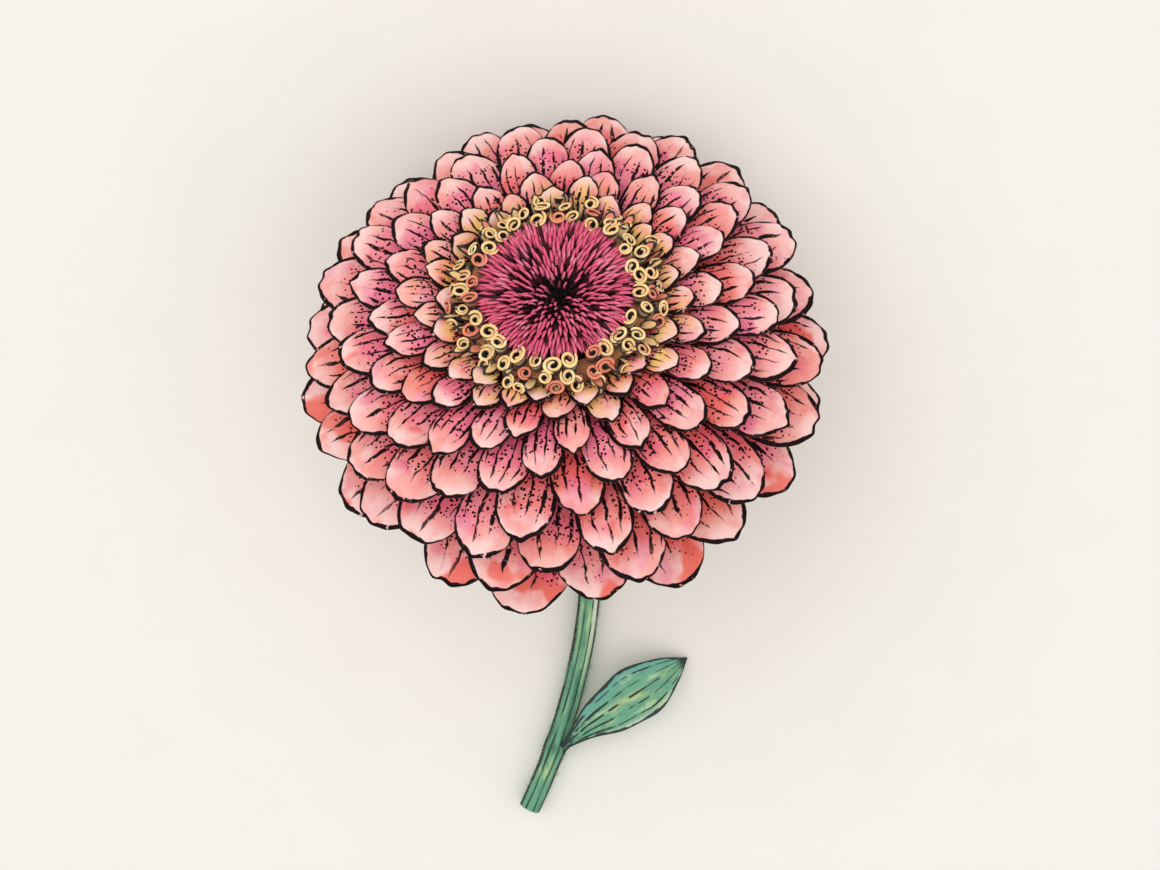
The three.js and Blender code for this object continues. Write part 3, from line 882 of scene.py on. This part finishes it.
def scale(blank, grid, number):
    share = math.sqrt((number + 0.5) / SCALES)
    length = mix(SCALE_LENGTH, share) * (1 + LENGTH_SWAY * sway(number, 31))
    rise = mix(SCALE_RISE, share) + RISE_SWAY * sway(number, 32)
    reach = length * math.cos(rise)
    radius = max(EYE_RADIUS, min(share * MIDDLE_RADIUS - reach / 4, SCALES_REACH - reach))
    height = np.interp(radius, *zip(*DISH_HEIGHTS))
    tip_breadth = mix(SCALE_TIP, min(1, share * 1.6))
    taper = np.interp(grid[:, 2], [0, 0.3, 0.75, 1], [0.8, 1.15, 0.85, tip_breadth])
    angle = rise - SCALE_BEND * (1 + BEND_SWAY * sway(number, 33)) * grid[:, 2] ** 2
    along = grid[:, 2] * length
    thick = SCALE_FLATNESS * grid[:, 1] * SCALE_HALF * taper
    x = radius + along * np.cos(angle) - thick * np.sin(angle)
    y = grid[:, 0] * SCALE_HALF * taper + SCALE_ASTRAY * sway(number, 34) * grid[:, 2]
    z = height - SUNK + along * np.sin(angle) + thick * np.cos(angle)
    return bloom_copy(
        blank,
        turned(columns(x, y, z), number * GOLDEN_ANGLE),
        scale=columns(grid[:, 2], share, chance(number, 35)),
        flank=columns(np.abs(grid[:, 0]), 0, 0),
    )


scales = copies(sleeve_blank("scale_blank", 5, 4), scale, SCALES)
middle = one_piece("disc_scales", [dish, *scales], crease=60)

# %% Paint the scales from the dark eye outwards
scale_skin, tree, shader = new_material("scale_skin", Roughness=0.7, Specular_IOR_Level=0.12)
up_scale, outwards, draw = read_three(tree, "scale")
own = read(tree, "own")
magenta = washes(own, 260.0, rgb(248, 136, 162), rgb(238, 98, 132), rgb(220, 66, 98))
magenta = tint(fade(draw, 0.6, 1.0, 0.0, 0.35), magenta, rgb(246, 132, 160))
# Each scale darkens towards its foot: painted shade deep in the tuft.
rooted = tint(fade(up_scale, 0.5, 0.12, 0.0, 0.97), magenta, rgb(44, 8, 20))
dark_flank = fade(read_three(tree, "flank")[0], 0.55, 0.86, 0.0, 0.85)
outlined = tint(dark_flank, rooted, rgb(40, 8, 20))
dark_share = fade(outwards, 0.62, 0.2, 0.0, 0.26)
dark_ones = fade(minus(draw, dark_share), 0.15, 0.1, 0.0, 0.95)
strokes = tint(dark_ones, outlined, rgb(26, 5, 12))
eye = fade(plus(outwards, times(draw, 0.17)), 0.27, 0.19)
inked = tint(eye, strokes, rgb(14, 3, 7))
finish_material(shader, inked, noise(own, 1800.0), 0.0002)
dressed(middle, scale_skin, "disc_middle", "disc_middle")
print(SCALES, "scales round the eye")

# %% [markdown]
# ## The curled florets
#
# Between the middle and the petals stands a ring of small yellow florets, each rolled like a
# scroll. A strip of mesh is coiled by rule: its radius grows as it turns, and it leans out with a
# lip at the top. No two are alike: they differ in size, in lean and in which way they roll. They
# stand in three rows, and each row leans out further than the one inside it. A few are still red.

# %% The florets' measures, with pairs from the inner row to the outer one
FLORETS_IN_ROW = 26
FLORET_ROWS = 3
FLORET_CIRCLE = (14.9, 18)
FLORET_ROOT = (28, 25.8)
FLORET_LEAN = (4, 30)  # in degrees
FLORET_SIZE = 0.7
FLORET_SHRINKING = 0.06  # how much smaller that is in the outer row
FLORET_HEIGHT = 3.4
SIZE_STRAY, HEIGHT_STRAY = 0.12, 0.7  # how far single florets stray from those measures
LEAN_STRAY, CIRCLE_STRAY, PLACE_STRAY = math.radians(7), 0.4, 0.3
SCROLL_TURNS = 1.55
SCROLL_RADII = (0.4, 1.72)  # at the scroll's inner end and at its outer one
SCROLL_WALL = 0.66
SCROLL_LIP = 0.35
SCROLL_WAVE = 0.45  # how uneven its upper edge is
SCROLL_OVAL = 0.18  # how far it may be from round


# %% Roll the florets and stand them round the disc
def scroll(grid, number, size, height):
    """A floret that stands upright: how far each vertex is to its two sides, and how high."""
    round_share, rise = (grid[:, 0] + 1) / 2, (grid[:, 1] + 1) / 2
    start = 2 * math.pi * chance(number, 41)
    angle = start + round_share * SCROLL_TURNS * 2 * math.pi * (1 if number % 3 else -1)
    ends = np.interp(round_share, [0, 0.06, 0.94, 1], [0.5, 1, 1, 0.4])
    wall = grid[:, 2] * SCROLL_WALL / 2 * ends
    radius = size * (mix(SCROLL_RADII, round_share) + SCROLL_LIP * rise**3 + wall)
    uneven = SCROLL_WAVE * np.sin(round_share * 9 + wave_start(number, 42))
    tall = height * (0.86 + 0.14 * round_share) * rise + uneven * rise
    oval = 1 + SCROLL_OVAL * sway(number, 45)
    return radius * np.cos(angle) * oval, radius * np.sin(angle) / oval, tall


def floret(blank, grid, number):
    row = number // FLORETS_IN_ROW
    out = row / (FLORET_ROWS - 1)
    size = FLORET_SIZE - FLORET_SHRINKING * out + SIZE_STRAY * sway(number, 46)
    x, y, tall = scroll(grid, number, size, FLORET_HEIGHT + HEIGHT_STRAY * sway(number, 10))
    tip = math.radians(mix(FLORET_LEAN, out)) + LEAN_STRAY * sway(number, 43)
    circle = mix(FLORET_CIRCLE, out) + CIRCLE_STRAY * sway(number, 9)
    forward = circle + x * math.cos(tip) + tall * math.sin(tip)
    height = mix(FLORET_ROOT, out) + tall * math.cos(tip) - x * math.sin(tip)
    place_round = (number + row / 2 + PLACE_STRAY * sway(number, 11)) / FLORETS_IN_ROW
    return bloom_copy(
        blank,
        turned(columns(forward, y, height), place_round * 2 * math.pi),
        floret=columns((grid[:, 1] + 1) / 2, grid[:, 2], chance(number, 44)),
    )


florets = copies(blade_blank("scroll_blank", 22, 3), floret, FLORET_ROWS * FLORETS_IN_ROW)
floret_ring = one_piece("curled_florets", florets, crease=55)

# %% Paint the florets
floret_skin, tree, shader = new_material("floret_skin", Roughness=0.5, Sheen_Weight=0.2)
rise, face, draw = read_three(tree, "floret")
own = read(tree, "own")
gold = washes(own, 300.0, rgb(255, 230, 172), rgb(254, 212, 142), rgb(250, 180, 118))
gold = tint(fade(draw, 0.78, 0.84, 0.0, 0.75), gold, rgb(228, 84, 78))
# The dark band just under the lip is a drawn line; the darkening inside each scroll and at its foot
# is painted shade.
below_lip = times(fade(rise, 0.99, 0.93), fade(rise, 0.58, 0.72))
inside = times(fade(face, 0.2, -0.4), fade(rise, 0.95, 0.7))
rooted = fade(rise, 0.6, 0.25, 0.0, 0.95)
shaded = tint(either(below_lip, inside, rooted), gold, rgb(34, 10, 10))
finish_material(shader, shaded, noise(own, 1600.0, detail=3.0), 0.0002)
dressed(floret_ring, floret_skin, "disc_florets", "disc_florets")

# %% [markdown]
# ## Straps outside the ring
#
# Outside the curled florets, the youngest ray florets have only just begun to open. They are
# narrow straps, yellow turning to coral, and they fill the space up to the first true petals. They
# spring from the core's shoulder and lean out at all angles, so hardly any of the core shows.

# %% Bend the straps, with pairs from the innermost to the outermost
STRAPS = 130
STRAP_RISE = (math.radians(74), math.radians(12))
STRAP_RISE_SWAY = math.radians(9)
STRAP_ROOT_HEIGHT = (27.2, 23.2)
STRAP_ROOT_RADIUS = (16.2, 17.2)
STRAP_BEND = math.radians(26)
STRAP_LENGTH = 4.6
STRAP_LENGTH_SWAY = 1.6
STRAP_HALF_WIDTH = 0.85
STRAP_WIDTH_SWAY = 0.35
STRAP_TROUGH = 0.35  # how deep it is hollowed, as a share of its breadth
STRAP_ASTRAY = 0.5
STRAP_HALF = 0.2


def strap(blank, grid, number):
    across, along, side = blade_shares(grid)
    place = number / STRAPS
    length = STRAP_LENGTH + STRAP_LENGTH_SWAY * sway(number, 61)
    half_width = STRAP_HALF_WIDTH + STRAP_WIDTH_SWAY * sway(number, 62)
    rise = mix(STRAP_RISE, place) + STRAP_RISE_SWAY * sway(number, 63)
    breadth = half_width * (0.55 + 0.45 * np.sin(along * math.radians(110)))
    breadth *= np.sqrt(1 - 0.94 * along**6)
    bend = rise - STRAP_BEND * along
    out = mix(STRAP_ROOT_RADIUS, place) + along * length * np.cos(bend)
    up = mix(STRAP_ROOT_HEIGHT, place) + along * length * np.sin(bend)
    up += STRAP_TROUGH * breadth * (across**2 - 1)
    sideways = across * breadth + STRAP_ASTRAY * sway(number, 64) * along**2
    thick = side * STRAP_HALF * (1 - 0.5 * along)
    points = columns(out - thick * math.sin(rise), sideways, up + thick * math.cos(rise))
    margin = np.minimum((1 - np.abs(across)) * breadth, (1 - along) * length)
    return bloom_copy(
        blank,
        turned(points, number * GOLDEN_ANGLE + 0.1 * sway(number, 65)),
        strap=columns(along, margin, chance(number, 66)),
    )


straps = one_piece("young_straps", copies(blade_blank("strap_blank", 4, 6), strap, STRAPS))

# %% Paint the straps
strap_skin, tree, shader = new_material("strap_skin", Roughness=0.5, Sheen_Weight=0.2)
along, margin, draw = read_three(tree, "strap")
own = read(tree, "own")
gold = washes(own, 300.0, rgb(255, 224, 162), rgb(253, 205, 138), rgb(249, 172, 120))
coral = tint(fade(draw, 0.6, 0.7, 0.0, 0.8), gold, rgb(238, 110, 96))
# Each strap darkens towards its foot with painted shade; the dark rim is a drawn line.
rooted = fade(along, 0.5, 0.15, 0.0, 0.95)
rim = ink(margin, 0.34, own, breaks=0.25)
inked = tint(either(rim, rooted), coral, rgb(24, 6, 8))
finish_material(shader, inked, noise(own, 1600.0, detail=3.0), 0.0002)
dressed(straps, strap_skin, "petals")

# %% [markdown]
# ## The green cup
#
# Behind the petals a cup of overlapping bracts holds the bloom together. Each is a small green
# scale with a rounded tip and a dark, papery margin. They are tiles in staggered rows, so each
# hides the gap between the two below it.

# %% Shape the cup under the bracts
CUP_SIDE = [(3.3, -14), (9.6, -13.6), (12.2, -7), (15, 0.7)]
CUP_INSET = 0.2
CUP_TOP = -1.9
FAR_FROM_MARGIN = 3
cup_profile, _ = curve_point(CUP_SIDE, np.linspace(0, 0.86, 14))
cup_profile = columns(cup_profile[:, 0] - CUP_INSET, np.minimum(cup_profile[:, 1], CUP_TOP))
cup = turned_piece("cup", cup_profile, 48, 14)
keep(cup, "bract", columns(np.full(len(cup.data.vertices), FAR_FROM_MARGIN), 0, 0))

# %% Lay the bracts on the cup, with pairs from the lowest row to the highest
BRACT_ROWS = 3
BRACTS_IN_ROW = 9
BRACT_HALF_WIDTH = (4.8, 3.8)
BRACT_START = (0.6, 0.16)
BRACT_SPAN = 0.4
BRACT_STAND = (-0.75, 1.1)  # how far the bract's foot and its tip stand off the cup
BRACT_LENGTH = 7
BRACT_HALF = 0.38
BRACT_THINNED = 0.4  # the share of its thickness that its margin keeps
BRACT_THINNING_REACH = 1.5
BRACT_KEEL = 0.12
BRACT_FAN = 0.9
BRACT_ROUNDING = 0.3
START_SWAY, PLACE_SWAY = 0.02, 0.1


def bract(blank, grid, number):
    row, index = divmod(number, BRACTS_IN_ROW)
    share = row / (BRACT_ROWS - 1)
    across, along, side = blade_shares(grid)
    across = bunched(across, BRACT_FAN)
    half_width = mix(BRACT_HALF_WIDTH, share)
    rounding = BRACT_ROUNDING * (1 - np.sqrt(1 - (0.86 * across) ** 2))
    start = mix(BRACT_START, share) - START_SWAY * chance(number, 12)
    point, way = curve_point(CUP_SIDE, start + BRACT_SPAN * along * (1 - rounding * along**2))
    margin = np.minimum((1 - np.abs(across)) * half_width, (1 - along) * BRACT_LENGTH)
    margin[on_rim(grid)] = 0
    thinning = mix((BRACT_THINNED, 1), np.clip(margin / BRACT_THINNING_REACH, 0, 1))
    stand = mix(BRACT_STAND, along) + side * BRACT_HALF * thinning
    stand += BRACT_KEEL * (1 - across**2)
    radius = point[:, 0] + way[:, 1] * stand
    sideways = across * half_width * (0.45 + 0.55 * np.sin(along * math.radians(120)))
    place_round = (index + row / 2 + PLACE_SWAY * sway(number, 13)) / BRACTS_IN_ROW * 2 * math.pi
    angle = place_round - sideways / radius
    height = point[:, 1] - way[:, 0] * stand
    return bloom_copy(
        blank,
        columns(radius * np.cos(angle), radius * np.sin(angle), height),
        bract=columns(margin, along, chance(number, 51)),
    )


bracts = copies(blade_blank("bract_blank", 6, 8), bract, BRACT_ROWS * BRACTS_IN_ROW)
involucre = one_piece("green_cup", [cup, *bracts], crease=60)

# %% Paint the bracts
bract_skin, tree, shader = new_material("bract_skin", Roughness=0.6)
margin, along, draw = read_three(tree, "bract")
own = read(tree, "own")
green = washes(own, 220.0, rgb(164, 196, 132), rgb(118, 164, 106), rgb(84, 136, 90))
paler_root = tint(fade(along, 0.5, 0.0, 0.0, 0.4), green, rgb(176, 204, 148))
rim = ink(margin, 0.42, own, breaks=0.2)
inked = tint(times(rim, 0.85), paler_root, rgb(58, 34, 26))
finish_material(shader, inked, noise(own, 1200.0, detail=3.0), 0.0003)
dressed(involucre, bract_skin, "involucre", "involucre")

# %% [markdown]
# ## The stem
#
# The stem leaves the cup, bends down to the table in one curve, and lies along it to the cut. It
# has low ribs and a knuckle where the leaf springs. A cylinder cut into rings follows the same
# centreline as the solid, with enough rings for the bend to look smooth.

# %% The stem's course
STEM_RADIUS = 2.1
NECK_RADIUS = 3
NECK_TAPER = 16
TOUCHDOWN_REACH = 17
KNUCKLE_AT = 0.853
KNUCKLE_HALF = 0.02
KNUCKLE_SWELL = 0.1
CUT_HANDLE = np.array([-0.42, -0.9, 0])  # which way the stem runs where it is cut
neck = BLOOM_CENTRE + facing * (CUP_SIDE[0][1] - 0.3)
under_bloom = np.array([BLOOM_CENTRE[0], BLOOM_CENTRE[1], 0])
touchdown = under_bloom + np.array([4.6, -44, STEM_RADIUS])
cut_end = under_bloom + np.array([-7.8, -95.1, STEM_RADIUS])
bend_down = [neck, neck - facing * TOUCHDOWN_REACH, touchdown + [0, TOUCHDOWN_REACH, 0], touchdown]
lie_along = [
    touchdown,
    touchdown - [0, TOUCHDOWN_REACH, 0],
    cut_end - CUT_HANDLE * TOUCHDOWN_REACH,
    cut_end,
]
fine = np.linspace(0, 1, 200)
course = np.concatenate([curve_point(bend_down, fine)[0], curve_point(lie_along, fine[1:])[0]])
course_at, STEM_LENGTH = shares_along(course)
print("stem is", round(STEM_LENGTH, 1), "mm long")


# %% Places on the stem
RIBS = 8
RIB_DEPTH = 0.045
RIB_WANDER, RIB_WAVES = 0.6, 9  # how far the ribs wander round the stem, and how fast
NEARBY = 0.004


def stem_frame(share):
    """Points on the stem's centreline at each share, with a sideways and an upward direction."""
    point, ahead, behind = [
        on_line(course, course_at, at) for at in (share, share + NEARBY, share - NEARBY)
    ]
    way = unit(ahead - behind)
    sideways = unit(np.cross(way, [0, 0, 1]))
    return point, sideways, np.cross(sideways, way)


def stem_radius(share):
    flare = (NECK_RADIUS - STEM_RADIUS) * np.exp(-((share * STEM_LENGTH / (NECK_TAPER / 2)) ** 2))
    knuckle = KNUCKLE_SWELL * np.exp(-(((share - KNUCKLE_AT) / KNUCKLE_HALF) ** 2))
    return (STEM_RADIUS + flare) * (1 + knuckle)


def on_stem(x, y, share):
    """Places on the stem for points on a unit circle, and how far its ribs wander there."""
    point, sideways, upwards = stem_frame(share)
    wander = RIB_WANDER * np.sin(share * RIB_WAVES)
    rib = RIB_DEPTH * np.cos(RIBS * np.arctan2(y, x) + wander) * np.minimum(np.hypot(x, y), 1)
    radius = stem_radius(share) * (1 + rib)
    places = point + sideways * (radius * x)[:, None] + upwards * (radius * y)[:, None]
    return places, wander


# %% Draw the cylinder along the course
PAINT_RADIUS = 2  # the stem's radius as its paint sees it, the same from neck to cut
stem_blank = sleeve_blank("stem_blank", 64, 110)
x, y, share = corners(stem_blank).T
places, wander = on_stem(x, y, share)
places[:, 2] = np.maximum(places[:, 2], 0)
stem_copy = shaped_copy(
    stem_blank,
    places,
    stem=columns(wander, share, np.hypot(x, y)),
    own=columns(x * PAINT_RADIUS, y * PAINT_RADIUS, share * STEM_LENGTH) / MM_IN_METRE,
)
stem = one_piece("stem_skin", [stem_copy], crease=50)
bpy.data.objects.remove(stem_blank)

# %% [markdown]
# Stiff pale hairs stand out all over a zinnia's stem. Each is a cone of three sides, shorter than a
# millimetre and leaning a little towards the bloom. The table side has none, because they would be
# pressed flat there.

# %% Set the hairs on the stem
HAIRS = 900
HAIRS_FROM, HAIRS_SPAN = 0.02, 0.96  # where on the stem they begin, and how far they go
HAIR_LENGTH = (0.5, 0.85)
HAIR_HALF = 0.07
HAIR_SPREAD = math.radians(125)  # how far round from the top they grow, each way
HAIR_SLANT = 0.003  # how far its tip leans towards the bloom, as a share of the stem
SLANT_SWAY = 0.6
HAIR_ROOT = 0.1


def hair(blank, grid, number):
    share = HAIRS_FROM + HAIRS_SPAN * (number + 0.5) / HAIRS
    angle = math.radians(90) + HAIR_SPREAD * sway(number, 71)
    length = mix(HAIR_LENGTH, chance(number, 72))
    ends = np.array([[math.cos(angle), math.sin(angle), share]] * 2).T
    ends[:2, 1] *= 1 + length / STEM_RADIUS
    ends[2, 1] -= HAIR_SLANT * (1 + SLANT_SWAY * sway(number, 73))
    foot, tip = on_stem(*ends)[0]
    way = (tip - foot) / np.linalg.norm(tip - foot)
    side = np.cross(way, [0.2, 1, 0.1])
    side /= np.linalg.norm(side)
    thin = (HAIR_HALF * (1 - 0.9 * grid[:, 2]))[:, None]
    places = foot - HAIR_ROOT * way + grid[:, 2:3] * (tip - foot)
    places += thin * (grid[:, 0:1] * side + grid[:, 1:2] * np.cross(way, side))
    return shaped_copy(blank, places)


hairs = one_piece("stem_hairs", copies(sleeve_blank("hair_blank", 3, 1, "NGON"), hair, HAIRS))
hair_skin, tree, shader = new_material("hair_skin", Roughness=0.5)
place = add(tree, "TexCoord").outputs["Object"]
pale = tint(noise(place, 500.0), rgb(176, 206, 160), rgb(120, 170, 128))
feed(shader.inputs["Base Color"], pale)
dressed(hairs, hair_skin, "stem")

# %% [markdown]
# The stem is blue-green with paler, yellower streaks, and dark in its furrows and along both its
# flanks. A painted highlight runs along one rib, on the side that the leaf points to, from the neck
# for a little over half the stem. The shader works the angle round the stem out of the place kept
# at each vertex, because an angle that was kept itself would jump at the seam.

# %% Wash the stem and its ribs
# The pale rib is a painted highlight, which fades out a little past the middle of the stem.
HIGHLIGHT_RIB_ANGLE = math.radians(135)  # how far round the stem the pale rib is
stem_paint, tree, shader = new_material("stem_skin", Roughness=0.5)
wander, down, outer = read_three(tree, "stem")
own = read(tree, "own")
own_x, own_y, _ = read_three(tree, "own")
streaky = add(tree, "Mapping", {"Vector": own, "Scale": (1.0, 1.0, 0.16)}).outputs[0]
green = washes(streaky, 420.0, rgb(172, 210, 150), rgb(98, 162, 126), rgb(58, 122, 104))
angle = sums("ARCTAN2", own_y, own_x)
turns = sums("DIVIDE", plus(times(angle, RIBS), wander), 2 * math.pi)
off_furrow = off(sums("FRACT", turns), 0.5)
furrow_gap = times(off_furrow, 2 * math.pi * STEM_RADIUS / RIBS)
furrowed = tint(fade(furrow_gap, 0.45, 0.0, 0.0, 0.5), green, rgb(44, 100, 82))
highlight_reach = fade(down, 0.72, 0.55, 0.0, 0.8)
highlight_rib = times(fade(off(angle, HIGHLIGHT_RIB_ANGLE), 0.34, 0.2), highlight_reach)
ribbed = tint(highlight_rib, furrowed, rgb(222, 228, 204))

# %% Draw the stem's lines
SIDE_LINE_UP = 0.32  # how far up the stem's side its flank line runs, as a share of its radius
TO_SHARE = MM_IN_METRE / PAINT_RADIUS
furrow_line = ink(furrow_gap, 0.22, streaky, breaks=0.36)
off_side = times(sums("ABSOLUTE", own_x), TO_SHARE)
furrow_line = times(furrow_line, fade(off_side, 0.15, 0.5, 0.3, 1.0))
knuckle_line = fade(off(down, KNUCKLE_AT), 0.014, 0.004, 0.0, 0.25)
side_gap = times(off(times(own_y, TO_SHARE), SIDE_LINE_UP), STEM_RADIUS)
side_line = ink(side_gap, 0.62, streaky, breaks=0.26)
drawn = either(furrow_line, side_line, knuckle_line)
lined = tint(drawn, ribbed, rgb(8, 20, 18))
cut_face = tint(fade(outer, 0.86, 0.7), lined, rgb(206, 220, 140))
finish_material(shader, cut_face, noise(streaky, 2400.0, detail=3.0), 0.0002)
dressed(stem, stem_paint, "stem", "stem")

# %% [markdown]
# ## The leaf
#
# The one leaf springs from the knuckle and rests its tip on the table. It is folded a little along
# its midrib, and more veins run beside the midrib from end to end, as in every zinnia leaf. The
# veins are pressed into the blade itself, so they show from the side too.

# %% The leaf's outline
LEAF_COURSE = [(-2.2, -83.6, 3), (4, -74.6, 7.8), (15, -69.8, 6.8), (24.1, -64, 0.7)]
LEAF_LENGTH = 32
LEAF_HALF_WIDTH = 5.7
LEAF_FAN = 0.85
LEAF_STALK = 0.9  # half the stalk's width
LEAF_WAVE = 0.035
leaf_blank = blade_blank("leaf_blank", 24, 30)
grid = corners(leaf_blank)
across, along, side = blade_shares(grid)
across = bunched(across, LEAF_FAN)
stalk_half = np.interp(along, [0, 0.9, 1], [LEAF_STALK, LEAF_STALK, 0.12])
swelling = np.sin(math.pi * np.minimum(1, 0.05 + 0.95 * along) ** 1.55)
half_width = np.maximum(stalk_half, LEAF_HALF_WIDTH * swelling)
sideways = across * half_width * (1 + LEAF_WAVE * np.sin(along * 21 + np.sign(across)))
margin = (1 - np.abs(across)) * half_width

# %% Bend the leaf and press its veins in
VEIN_PAIRS = 2
VEIN_SPREAD = 0.7  # the share across at which the outermost pair of veins runs
VEIN_DEPTH = 0.22
VEIN_HALF = 0.32
LEAF_HALF = 0.34
LEAF_FOLD = 0.16
LEAF_REST = (0.02, 0.7)  # how low its underside and its top may come to the table
point, way = curve_point(np.array(LEAF_COURSE) + under_bloom, along)
side_way = unit(np.cross([0, 0, 1], way))
face_way = np.cross(way, side_way)
vein_count = np.abs(across) * VEIN_PAIRS / VEIN_SPREAD
vein_gap = np.abs(vein_count - np.round(vein_count)) * VEIN_SPREAD / VEIN_PAIRS
groove = VEIN_DEPTH * np.exp(-((vein_gap * half_width / VEIN_HALF) ** 2)) * np.sin(math.pi * along)
groove *= np.abs(across) < VEIN_SPREAD + 0.1
thick = LEAF_HALF * (0.45 + 0.55 * np.clip(margin / 1.2, 0, 1))
rise = LEAF_FOLD * np.abs(sideways) + side * thick - groove
places = point + side_way * sideways[:, None] + face_way * rise[:, None]
places[:, 2] = np.maximum(places[:, 2], np.where(side > 0, LEAF_REST[1], LEAF_REST[0]))
leaf_copy = shaped_copy(
    leaf_blank,
    places,
    leaf=columns(across, along, margin),
    laid=columns(sideways, along * LEAF_LENGTH, 0) / MM_IN_METRE,
)
leaf = one_piece("leaf_blade", [leaf_copy])
bpy.data.objects.remove(leaf_blank)

# %% Wash the leaf
leaf_paint, tree, shader = new_material("leaf_skin", Roughness=0.48)
across, along, margin = read_three(tree, "leaf")
laid = read(tree, "laid")
stretched = add(tree, "Mapping", {"Vector": laid, "Scale": (1.0, 0.35, 1.0)}).outputs[0]
green = washes(stretched, 330.0, rgb(176, 212, 160), rgb(104, 170, 134), rgb(70, 142, 128))
bluish = tint(fade(across, 0.3, 0.9, 0.0, 0.7), green, rgb(96, 168, 158))
streak = times(fade(across, -0.75, -0.2), fade(across, 0.3, -0.1))
streak = times(streak, patches(stretched, 260.0, 0.45, 0.6, 0.0, 0.75))
yellowish = tint(streak, bluish, rgb(200, 216, 150))
past_stalk = fade(along, 0.2, 0.5, 0.0, 0.6)
# A painted highlight pales one edge of the leaf, past its stalk.
highlight_edge = times(fade(across, -0.72, -0.95), past_stalk)
washed = tint(highlight_edge, yellowish, rgb(222, 232, 216))
shaded = tint(fade(along, 0.22, 0.0, 0.0, 0.75), washed, rgb(34, 84, 66))

# %% Draw the leaf's veins and margin
from_midrib = sums("ABSOLUTE", across)
count = times(from_midrib, VEIN_PAIRS / VEIN_SPREAD)
off_vein = off(count, sums("ROUND", count))
width_here = fade(along, 0.02, 0.6, 0.12, 1.0)
vein_gap = times(off_vein, LEAF_HALF_WIDTH * VEIN_SPREAD / VEIN_PAIRS, width_here)
inside_blade = fade(from_midrib, VEIN_SPREAD + 0.12, VEIN_SPREAD + 0.06)
veins = ink(vein_gap, fade(along, 0.75, 0.1, 0.22, 0.3), stretched, breaks=0.38)
rim = ink(margin, fade(along, 0.7, 0.9, 0.62, 0.4), laid, breaks=0.2)
dark_tip = fade(along, 0.915, 0.965)
drawn = either(times(veins, inside_blade), either(rim, dark_tip))
inked = tint(times(drawn, 0.97), shaded, rgb(9, 24, 21))
finish_material(shader, inked, noise(laid, 1500.0, detail=3.0), 0.0003)
dressed(leaf, leaf_paint, "leaf", "leaf")

# %% [markdown]
# ## The table's finish
#
# Plain pale card, matte, with a grain too fine to draw the eye.

# %% Finish the table
card, tree, shader = new_material("pale_card", Roughness=0.9)
place = add(tree, "TexCoord").outputs["Object"]
tone = tint(noise(place, 60.0, detail=3.0), rgb(243, 240, 234), rgb(239, 236, 229))
finish_material(shader, tone, noise(place, 900.0), 0.0001, strength=0.2)
table.data.materials.append(card)
